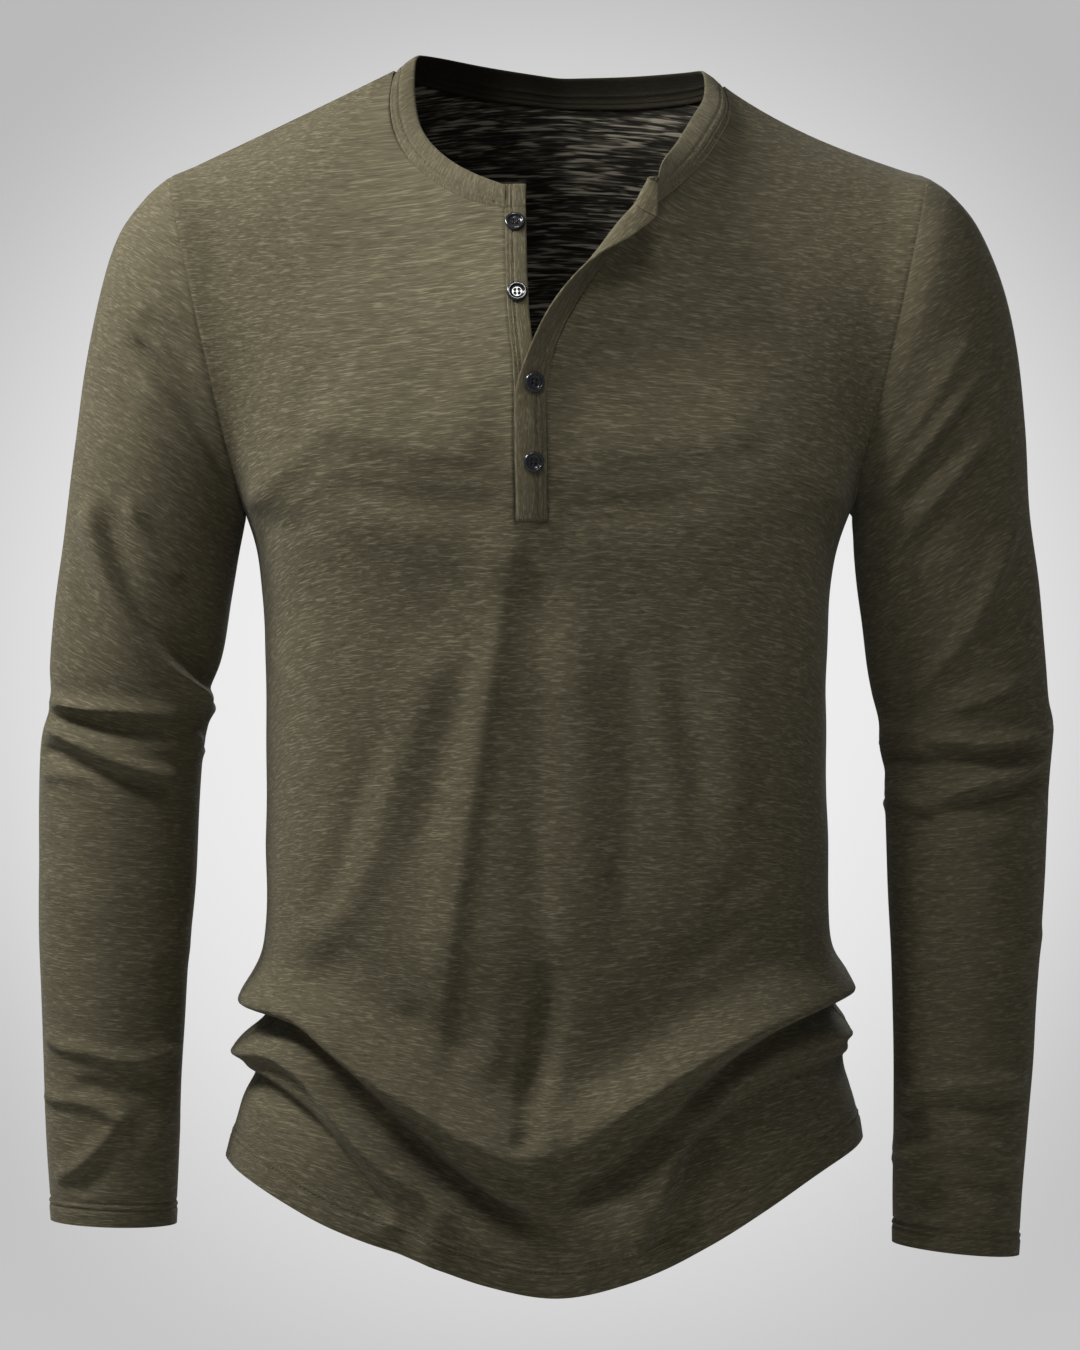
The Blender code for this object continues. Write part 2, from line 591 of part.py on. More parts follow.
def make_object(name, points, faces, finish):
    """Make one named object with smooth faces that point outwards."""
    mesh = bpy.data.meshes.new(name)
    shape = bmesh.new()
    corners = [shape.verts.new(point) for point in points]
    for face in faces:
        shape.faces.new([corners[index] for index in face])
    loose = [corner for corner in shape.verts if not corner.link_faces]
    bmesh.ops.delete(shape, geom=loose, context="VERTS")
    bmesh.ops.triangulate(shape, faces=shape.faces[:], quad_method="SHORT_EDGE")
    bmesh.ops.recalc_face_normals(shape, faces=shape.faces[:])
    shape.to_mesh(mesh)
    shape.free()
    mesh.shade_smooth()
    mesh.set_sharp_from_angle(angle=math.radians(40))
    item = bpy.data.objects.new(name, mesh)
    bpy.context.scene.collection.objects.link(item)
    mesh.materials.append(finish)
    return item


# ---------------------------------------------------------------- the pieces
def placket_normal(side, share):
    """Return the way the cloth faces at the placket's sewn edge."""
    share = np.asarray(share, dtype=float)
    ahead = placket_edge(side, np.clip(share + 0.02, 0, 1), "seam")
    behind = placket_edge(side, np.clip(share - 0.02, 0, 1), "seam")
    across = placket_edge(side, share, "crest") - placket_edge(side, share, "seam")
    return unit(np.cross(-side * across, ahead - behind))


def neck_normal(panel, side, share):
    """Return the way the cloth faces at a half panel's upper edge."""
    share = np.asarray(share, dtype=float)
    on_shoulder = share > NECK_SHARE - 1e-6
    low = np.where(on_shoulder, NECK_SHARE, 0.0)
    high = np.where(on_shoulder, 1.0, NECK_SHARE)
    ahead = top_edge(panel, side, np.clip(share + 0.01, low, high))
    behind = top_edge(panel, side, np.clip(share - 0.01, low, high))
    arrive = top_direction(panel, side, share)
    arrive = np.where(on_shoulder[..., None], np.array([0.0, -panel, 0.0]), arrive)
    return unit(np.cross(ahead - behind, arrive)) * -panel * side


def half_normals(panel, side, grid):
    """Return the facing of a half panel's points, shared with its neighbours at seams."""
    shares = column_shares()
    facing = grid_normals(grid)
    if side != (RIGHT if panel == BACK else LEFT):
        facing = -facing
    levels = grid[:BODY_ROWS, -1, 2]
    facing[:BODY_ROWS, -1] = body_frame(side_angle(side, levels), levels)[1]
    facing[-1] = neck_normal(panel, side, shares)
    if panel == FRONT:
        facing[BODY_ROWS:, 0] = placket_normal(side, np.linspace(0, 1, YOKE_ROWS + 1))
    phi = np.pi * (1 - np.linspace(0, 1, YOKE_ROWS + 1))
    facing[BODY_ROWS:, -1] = -armhole_inward(side, phi if panel == FRONT else -phi)
    return facing


def panel_grids(panel):
    """Return the outer points and facing of a whole panel, columns from its own left."""
    first, second = (RIGHT, LEFT) if panel == FRONT else (LEFT, RIGHT)
    halves = []
    for side in (first, second):
        grid = half_panel(panel, side)
        halves.append((grid, half_normals(panel, side, grid)))
    (grid_a, facing_a), (grid_b, facing_b) = halves
    skip = 0 if panel == FRONT else 1
    grid = np.concatenate([grid_a[:, ::-1], grid_b[:, skip:]], axis=1)
    facing = np.concatenate([facing_a[:, ::-1], facing_b[:, skip:]], axis=1)
    return grid, facing


def make_front(finish):
    """Make the front panel, cut open from the neck to the foot of the placket."""
    grid, facing = panel_grids(FRONT)
    middle = NECK_COLUMNS + SHOULDER_COLUMNS
    outer = set_back(grid)
    for column, step in ((middle, -1), (middle + 1, 1)):
        away = unit(grid[BODY_ROWS:, column + step] - grid[BODY_ROWS:, column])
        outer[BODY_ROWS:, column] += away * HALF_GAP
    return wall("front", outer, outer - facing * WALL, finish,
                gap_columns=(middle,), gap_from=BODY_ROWS)


def make_back(finish):
    """Make the back panel."""
    grid, facing = panel_grids(BACK)
    outer = set_back(grid)
    return wall("back", outer, outer - facing * WALL, finish)


def sleeve_grid(side):
    """Return a sleeve's outer points, ring by ring from the armhole to the cuff."""
    table = SLEEVE_RIGHT if side == RIGHT else SLEEVE_LEFT
    folds = SLEEVE_RIGHT_FOLDS if side == RIGHT else SLEEVE_LEFT_FOLDS
    top, low = armhole(side, 0.0), armhole(side, math.pi)
    start = (top[0], top[2], low[0], low[2], ARMHOLE_HALF_DEPTH, (top[1] + low[1]) / 2)
    rows = np.array([start] + [tuple(ring) for ring in table])
    steps = np.linspace(0, len(rows) - 1, SLEEVE_ROWS + 1)
    rings = hermite_through(np.arange(len(rows), dtype=float), rows, steps)
    phi = np.linspace(0, 2 * np.pi, 2 * YOKE_ROWS, endpoint=False)
    grid = np.zeros((SLEEVE_ROWS + 1, len(phi), 3))
    for i, (outer_x, outer_z, inner_x, inner_z, depth, centre_y) in enumerate(rings):
        half = (1 + np.cos(phi)) / 2
        grid[i, :, 0] = inner_x + (outer_x - inner_x) * half
        grid[i, :, 2] = inner_z + (outer_z - inner_z) * half
        grid[i, :, 1] = centre_y - depth * np.sin(phi)
    grid[0] = armhole(side, phi)
    facing = grid_normals(grid, closed=True)
    centre = grid.mean(axis=1, keepdims=True)
    facing *= np.sign(np.sum(facing * (grid - centre), axis=-1, keepdims=True) + 1e-9)
    ahead = smoothstep(-0.3, 0.3, -facing[..., 1])
    x, z = grid[..., 0], grid[..., 2]
    lift = ahead * fold_height(folds, x, z)
    behind = fold_height(folds, x, z + BACK_CREASE_DROP)
    lift += (1 - ahead) * BACK_CREASE_SHARE * behind
    worn_in = smoothstep(0, WORN_IN_ROWS, np.arange(SLEEVE_ROWS + 1))[:, None]
    return grid + facing * (lift * worn_in)[..., None]


def make_sleeve(side, finish):
    """Make one sleeve, from the armhole seam to the open cuff."""
    grid = sleeve_grid(side)
    facing = grid_normals(grid, closed=True)
    centre = grid.mean(axis=1, keepdims=True)
    facing *= np.sign(np.sum(facing * (grid - centre), axis=-1, keepdims=True) + 1e-9)
    phi = np.linspace(0, 2 * np.pi, 2 * YOKE_ROWS, endpoint=False)
    facing[0] = -armhole_inward(side, phi)
    outer = set_back(grid, closed=True)
    name = "sleeve_right" if side == RIGHT else "sleeve_left"
    return wall(name, outer, outer - facing * WALL, finish, closed=True)


def neck_path():
    """Return seam points, edge points and facing all round the neckline."""
    shares = column_shares()[:NECK_COLUMNS + 1]
    seam, edge, facing = [], [], []
    for panel, side, reverse in ((FRONT, RIGHT, False), (BACK, RIGHT, True),
                                 (BACK, LEFT, False), (FRONT, LEFT, True)):
        line = shares[::-1] if reverse else shares
        rim = [row.edge for row in neck_table(panel, side)]
        seam.append(top_edge(panel, side, line)[:-1])
        edge.append(along(rim, line / NECK_SHARE)[:-1])
        facing.append(neck_normal(panel, side, line)[:-1])
    last = np.zeros(1)
    seam.append(top_edge(FRONT, LEFT, last))
    edge.append(along([row.edge for row in NECK_LEFT], last))
    facing.append(neck_normal(FRONT, LEFT, last))
    facing = np.concatenate(facing)
    facing[0] = placket_normal(RIGHT, 1.0)
    facing[-1] = placket_normal(LEFT, 1.0)
    return np.concatenate(seam), np.concatenate(edge), facing


def make_neckband(finish):
    """Make the neckband, from one placket edge round the back to the other."""
    seam, edge, facing = neck_path()
    rows = [seam, seam + (edge - seam) * 0.5 + facing * 0.8, edge]
    outer = set_back(np.array(rows))
    return wall("neckband", outer, outer - facing[None] * BAND_WALL, finish)


def placket_grid(side):
    """Return the outer points and facing of one placket strip, foot to neck."""
    shares = np.linspace(0, 1, YOKE_ROWS + 1)
    seam = placket_edge(side, shares, "seam")
    crest = placket_edge(side, shares, "crest")
    free = placket_edge(side, shares, "free")
    across = np.linspace(0, 1, 5)
    bend = 2 * crest - (seam + free) / 2
    columns = [seam * (1 - t) ** 2 + bend * 2 * t * (1 - t) + free * t**2 for t in across]
    grid = np.stack(columns, axis=1)
    facing = grid_normals(grid)
    if side == LEFT:
        facing = -facing
    facing[:, 0] = placket_normal(side, shares)
    return grid, facing


def make_placket(side, finish):
    """Make the strip sewn to one edge of the neck opening."""
    grid, facing = placket_grid(side)
    outer = grid.copy()
    outer[:, 0] += unit(grid[:, 1] - grid[:, 0]) * HALF_GAP
    outer[0] += unit(grid[1] - grid[0]) * 2 * HALF_GAP
    outer[-1] += unit(grid[-2] - grid[-1]) * HALF_GAP
    name = "placket_under" if side == RIGHT else "placket_over"
    return wall(name, outer, outer - facing * PLACKET_WALL, finish)


def make_tab(side, finish):
    """Make the end of the neckband that covers the top of one placket strip."""
    seam = placket_edge(side, 1.0, "seam")
    crest = placket_edge(side, 1.0, "crest")
    free = placket_edge(side, 1.0, "free")
    across = np.linspace(0, 1, 5)[:, None]
    rows = []
    for first, middle, last in ((seam, crest, free), TAB_EDGE[side]):
        first, middle, last = np.array(first), np.array(middle), np.array(last)
        bend = 2 * middle - (first + last) / 2
        rows.append(first * (1 - across) ** 2 + bend * 2 * across * (1 - across)
                    + last * across**2)
    grid = np.array([rows[0], (rows[0] + rows[1]) / 2, rows[1]])
    facing = grid_normals(grid)
    if side == LEFT:
        facing = -facing
    facing[:, 0] = placket_normal(side, 1.0)
    facing[0] = placket_grid(side)[1][-1]
    outer = grid.copy()
    outer[:, 0] += unit(grid[:, 1] - grid[:, 0]) * 2 * HALF_GAP
    outer[0] += unit(grid[1] - grid[0]) * 2 * HALF_GAP
    name = "neck_tab_under" if side == RIGHT else "neck_tab_over"
    return wall(name, outer, outer - facing * PLACKET_WALL, finish)


def make_button(name, side, share, finish):
    """Make one dished button with a raised rim, lying on its placket strip."""
    seam, crest, free = (placket_edge(side, share, key) for key in ("seam", "crest", "free"))
    bend = 2 * crest - (seam + free) / 2
    centre = seam * 0.25 + bend * 0.5 + free * 0.25
    up = unit(placket_edge(side, share + 0.03, "crest")
              - placket_edge(side, share - 0.03, "crest"))
    out = unit(np.cross(-side * (free - seam), up))
    right = np.cross(up, out)
    profile = ((0.0, 0.5), (0.80, 0.5), (1.0, 1.0), (1.0, 1.9), (0.90, BUTTON_HEIGHT),
               (0.72, BUTTON_HEIGHT - 0.1), (0.62, 1.75), (0.0, 1.6))
    sides = 24
    points = []
    for radius, height in profile:
        count = 1 if radius == 0.0 else sides
        for k in range(count):
            turn = 2 * math.pi * k / sides
            flat = right * math.cos(turn) + up * math.sin(turn)
            points.append(centre + flat * radius * BUTTON_RADIUS + out * height)
    faces = []
    rings = len(profile) - 2
    for k in range(sides):
        n = (k + 1) % sides
        faces.append((0, 1 + n, 1 + k))
        for ring in range(rings - 1):
            a = 1 + ring * sides
            faces.append((a + k, a + n, a + sides + n, a + sides + k))
        a = 1 + (rings - 1) * sides
        faces.append((a + k, a + n, len(points) - 1))
    return make_object(name, np.array(points) * MM, faces, finish)


def make_finish(name):
    """Make one Principled material from the finish table."""
    finish = FINISHES[name]
    material = bpy.data.materials.new(name)
    material.use_nodes = True
    shader = material.node_tree.nodes["Principled BSDF"]
    shader.inputs["Base Color"].default_value = (*finish.colour, 1.0)
    shader.inputs["Roughness"].default_value = finish.roughness
    shader.inputs["Metallic"].default_value = 0.0
    return material


def main():
    """Clear the scene and build the shirt."""
    for item in list(bpy.data.objects):
        bpy.data.objects.remove(item, do_unlink=True)
    jersey = make_finish("jersey")
    button = make_finish("button")
    make_front(jersey)
    make_back(jersey)
    for side in (RIGHT, LEFT):
        make_sleeve(side, jersey)
        make_placket(side, jersey)
        make_tab(side, jersey)
    make_neckband(jersey)
    spots = [(RIGHT, share) for share in BUTTONS_ON_UNDER]
    spots += [(LEFT, share) for share in BUTTONS_ON_OVER]
    for number, (side, share) in enumerate(spots, start=1):
        make_button(f"button_{number}", side, share, button)


main()
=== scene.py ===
"""Henley shirt, men's M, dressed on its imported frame.

Slub jersey panels, sleeves, neckband and placket are thin shells with their creases, seams,
twin-needle stitching and four dished buttons. Sizes are millimetres unless a name says
otherwise, and meshes are written in metres. +X is the wearer's left, -Y the front, +Z up.
"""

from __future__ import annotations

import logging
import math
from dataclasses import dataclass, field
from enum import Enum
from typing import Any, Mapping, NamedTuple, Sequence

import bpy
import numpy as np
from bpy.types import Material, Node, NodeSocket, NodeTree, Object
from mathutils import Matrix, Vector


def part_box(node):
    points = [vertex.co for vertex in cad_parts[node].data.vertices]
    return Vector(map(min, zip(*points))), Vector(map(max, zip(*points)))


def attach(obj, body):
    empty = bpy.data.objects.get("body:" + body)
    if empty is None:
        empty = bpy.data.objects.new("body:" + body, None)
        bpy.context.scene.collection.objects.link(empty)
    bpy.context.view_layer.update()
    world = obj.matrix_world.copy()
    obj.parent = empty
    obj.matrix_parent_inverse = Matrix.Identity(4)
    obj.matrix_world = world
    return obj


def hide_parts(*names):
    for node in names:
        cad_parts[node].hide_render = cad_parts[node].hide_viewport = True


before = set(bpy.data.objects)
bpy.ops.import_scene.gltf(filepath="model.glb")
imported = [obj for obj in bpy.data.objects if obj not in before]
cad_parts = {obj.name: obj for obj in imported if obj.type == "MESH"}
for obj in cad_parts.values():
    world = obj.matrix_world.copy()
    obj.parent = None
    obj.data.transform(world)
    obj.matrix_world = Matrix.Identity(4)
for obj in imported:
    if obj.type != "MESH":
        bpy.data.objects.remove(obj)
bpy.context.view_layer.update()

MM = 0.001
LOG = logging.getLogger("henley")
Array = np.ndarray
Pair = tuple[float, float]
Point = tuple[float, float, float]
Colour = tuple[float, float, float]


class Panel(Enum):
    """The two body panels, by the sign of Y that they face."""

    FRONT = -1
    BACK = 1


class Side(Enum):
    """The wearer's two sides, by the sign of X."""

    RIGHT = -1
    LEFT = 1


# ---------------------------------------------------------------- short tables
class Section(NamedTuple):
    """One level of the body: its middle, half width and depths from the side seams."""

    z: float
    centre: float
    half_width: float
    front: float
    back: float


SECTIONS = (
    Section(-715, -9, 187, 119, 112),
    Section(-645, -9, 186, 119, 113),
    Section(-620, -8, 181.5, 118, 113),
    Section(-600, -7.5, 177, 116, 112),
    Section(-570, -7.5, 174.5, 113, 110),
    Section(-545, -7.5, 169, 110, 107),
    Section(-516, -7, 164, 107.5, 103),
    Section(-450, -7.5, 162.5, 105, 95),
    Section(-400, -8, 162, 104, 91),
    Section(-350, -8, 162, 105, 91),
    Section(-310, -8, 164, 108, 95),
    Section(-280, -7.5, 169, 113, 100),
    Section(-255, -7, 178, 117, 104),
)


class SeamAngle(NamedTuple):
    """The side seams' angles round the body, in degrees from the centre front."""

    z: float
    right: float
    left: float


SEAM_ANGLES = (
    SeamAngle(-715, -80, 93),
    SeamAngle(-400, -81, 93),
    SeamAngle(-320, -85, 92),
    SeamAngle(-255, -88, 91),
)


class HemPoint(NamedTuple):
    """The hem's level at a share of the width, -1 at the right side seam and 1 at the left."""

    share: float
    front: float
    back: float


HEM = (
    HemPoint(-1.00, -633, -633),
    HemPoint(-0.88, -643, -643),
    HemPoint(-0.66, -663.5, -662),
    HemPoint(-0.42, -680.5, -680),
    HemPoint(-0.18, -697, -692),
    HemPoint(0.05, -704, -697),
    HemPoint(0.25, -696, -690),
    HemPoint(0.45, -680, -677),
    HemPoint(0.66, -656, -657),
    HemPoint(0.86, -634, -636),
    HemPoint(1.00, -623, -623),
)


class NeckPoint(NamedTuple):
    """A place on the neckline: on the seam to the panels and on the band's free edge."""

    seam: Point
    edge: Point


NECK_FRONT_RIGHT = (
    NeckPoint((-31.6, -77, -93), (-31.4, -71, -79)),
    NeckPoint((-51, -70, -88), (-48, -62, -72)),
    NeckPoint((-73, -53, -75), (-65, -46, -61)),
    NeckPoint((-91, -31, -55), (-79, -27, -44)),
    NeckPoint((-99, -11, -28), (-84, -8, -21)),
    NeckPoint((-97, 8, -5), (-84, 6, 4.5)),
)
NECK_BACK_RIGHT = (
    NeckPoint((0, 74, -18), (0, 67, -2.5)),
    NeckPoint((-48, 62, -13), (-43, 56, 3.0)),
    NeckPoint((-83, 37, -7), (-73, 31, 6.0)),
    NeckPoint((-97, 8, -5), (-84, 6, 4.5)),
)
NECK_BACK_LEFT = (
    NeckPoint((0, 74, -18), (0, 67, -2.5)),
    NeckPoint((48, 62, -19), (43, 56, -2.5)),
    NeckPoint((83, 37, -17), (73, 31, -3.0)),
    NeckPoint((96, 8, -14), (84, 6, -4.5)),
)
NECK_FRONT_LEFT = (
    NeckPoint((50, -107, -94), (55, -101, -78)),
    NeckPoint((62, -86, -83), (57, -84, -68)),
    NeckPoint((78, -61, -66), (66, -58, -54)),
    NeckPoint((91, -37, -46), (76, -33, -36)),
    NeckPoint((98, -13, -29), (84, -9, -20)),
    NeckPoint((96, 8, -14), (84, 6, -4.5)),
)
NECK = {
    (Panel.FRONT, Side.RIGHT): NECK_FRONT_RIGHT,
    (Panel.BACK, Side.RIGHT): NECK_BACK_RIGHT,
    (Panel.BACK, Side.LEFT): NECK_BACK_LEFT,
    (Panel.FRONT, Side.LEFT): NECK_FRONT_LEFT,
}


class Arrival(NamedTuple):
    """How columns of a half panel reach its upper edge: inwards, across the shoulder, up."""

    share: float
    front_in: float
    front_deep: float
    front_up: float
    back_in: float
    back_deep: float
    back_up: float


ARRIVAL = (
    Arrival(0.00, 0.00, 0.75, 0.66, 0.00, 0.34, 0.94),
    Arrival(0.10, 0.25, 0.55, 0.75, 0.15, 0.36, 0.92),
    Arrival(0.20, 0.48, 0.40, 0.78, 0.32, 0.37, 0.87),
    Arrival(0.32, 0.78, 0.25, 0.55, 0.58, 0.45, 0.68),
    Arrival(0.40, 0.60, 0.48, 0.64, 0.42, 0.80, 0.44),
    Arrival(0.50, 0.30, 0.76, 0.56, 0.25, 0.93, 0.25),
    Arrival(0.62, 0.14, 0.90, 0.38, 0.10, 0.99, 0.08),
    Arrival(0.80, 0.04, 0.99, 0.14, 0.02, 1.00, 0.00),
    Arrival(1.00, 0.00, 1.00, 0.00, 0.00, 1.00, 0.00),
)


class EdgePoint(NamedTuple):
    """A place up a placket strip: its sewn edge, its crest and its free edge."""

    seam: Point
    crest: Point
    free: Point


BUTTON_SIDE = (
    EdgePoint((-24.8, -114.7, -271.5), (-18, -113.8, -271.5), (-11.5, -113.0, -271.5)),
    EdgePoint((-26.0, -118.0, -226), (-19, -117.0, -226), (-12, -116.2, -226)),
    EdgePoint((-26.2, -116.5, -192), (-20, -116.0, -192), (-13.5, -115.4, -192)),
    EdgePoint((-30.0, -104.0, -150), (-24, -104.2, -150), (-17.7, -103.5, -150)),
    EdgePoint((-31.2, -89.5, -115), (-25.5, -89.9, -115), (-19.0, -89.0, -115)),
    EdgePoint((-31.6, -77.0, -93), (-25.8, -77.4, -93), (-19.5, -77.0, -93)),
)
HOLE_SIDE = (
    EdgePoint((-7.2, -114.7, -271.5), (-15, -118.8, -271.5), (-24.6, -119.4, -271.5)),
    EdgePoint((-7.7, -118.0, -226), (-15.5, -122.2, -226), (-25.6, -122.7, -226)),
    EdgePoint((-7.5, -117.8, -197), (-15.5, -122.4, -197), (-25.0, -123.5, -197)),
    EdgePoint((-1.5, -115.5, -171), (-9.5, -123.0, -172), (-16.5, -129.0, -174)),
    EdgePoint((10.5, -112.0, -147), (4.0, -121.0, -147), (-1.0, -130.0, -146)),
    EdgePoint((29.0, -109.5, -121), (21.5, -119.5, -120.5), (20.5, -127.5, -124.5)),
    EdgePoint((39.5, -108.3, -107.5), (31.2, -119.5, -107.5), (39.0, -124.0, -114)),
    EdgePoint((50.0, -107.0, -94), (41.8, -118.5, -96), (53.5, -119.5, -103)),
)
TAB_EDGE = {
    Side.RIGHT: ((-31.4, -71.0, -79), (-25.6, -71.2, -79), (-19.4, -71.0, -79)),
    Side.LEFT: ((55, -101, -78), (49.5, -112, -80.5), (54.5, -114, -84)),
}


class Ring(NamedTuple):
    """One ring of a sleeve, from its outer to its inner point, with depth and middle."""

    outer_x: float
    outer_z: float
    inner_x: float
    inner_z: float
    half_depth: float
    centre_y: float


SLEEVE_RIGHT = (
    Ring(-240.5, -79.5, -182.2, -266, 62, 1),
    Ring(-256, -101.5, -183, -270.5, 62, 1),
    Ring(-266.8, -135.5, -184.5, -277.5, 60.5, 1),
    Ring(-275.2, -180, -187, -290, 58, 1),
    Ring(-281.7, -226, -190.5, -312, 55, 1),
    Ring(-287.2, -275.5, -194, -336.5, 52, 2),
    Ring(-293.5, -319, -199, -360, 50, 3),
    Ring(-296.5, -350, -201, -375, 49, 4),
    Ring(-296, -372, -204.5, -386, 46.5, 5),
    Ring(-301, -395, -207, -401.5, 47, 4),
    Ring(-302, -429, -209, -430, 45.5, 2),
    Ring(-302, -475, -211.5, -476, 43.5, -2),
    Ring(-300.5, -531, -215.4, -532, 41, -7),
    Ring(-298.4, -580, -218.2, -581.5, 39, -11),
    Ring(-295.8, -626.5, -220, -628, 37.5, -14),
    Ring(-293.4, -670, -221.8, -672.5, 36, -16),
)
SLEEVE_LEFT = (
    Ring(226.5, -77.5, 169.5, -265, 62, 1),
    Ring(242.5, -97, 169.5, -269, 62, 1),
    Ring(256.4, -130, 170, -276.5, 60.5, 1),
    Ring(264.7, -168.5, 170.7, -288, 58, 1),
    Ring(269.5, -212, 172.5, -307.5, 55, 1),
    Ring(272.6, -264, 175.3, -328, 52, 2),
    Ring(278, -307.5, 178.2, -349.5, 50, 3),
    Ring(281.5, -345, 181.5, -366.5, 49, 4),
    Ring(283.5, -370, 185.5, -383, 47, 5),
    Ring(286.3, -387, 185.7, -397.5, 47, 4),
    Ring(284.2, -417.5, 188, -420.5, 46, 2),
    Ring(283, -446.5, 188.6, -446.5, 45, 0),
    Ring(280, -487.5, 190.5, -487.5, 43.5, -3),
    Ring(276, -536.5, 192.1, -533.5, 41, -7),
    Ring(272.6, -583, 192.4, -580, 39, -11),
    Ring(268.6, -632, 192.2, -628, 37.5, -14),
    Ring(264, -690, 192.4, -683, 36, -17),
)


class Fold(NamedTuple):
    """A crease along a path of the front view.

    height is how far the cloth stands out (in, when negative); above and below are the
    widths on the two sides of the path; start and end are the lengths that it fades over.
    """

    path: tuple[Pair, ...]
    height: float
    above: float
    below: float
    start: float
    end: float


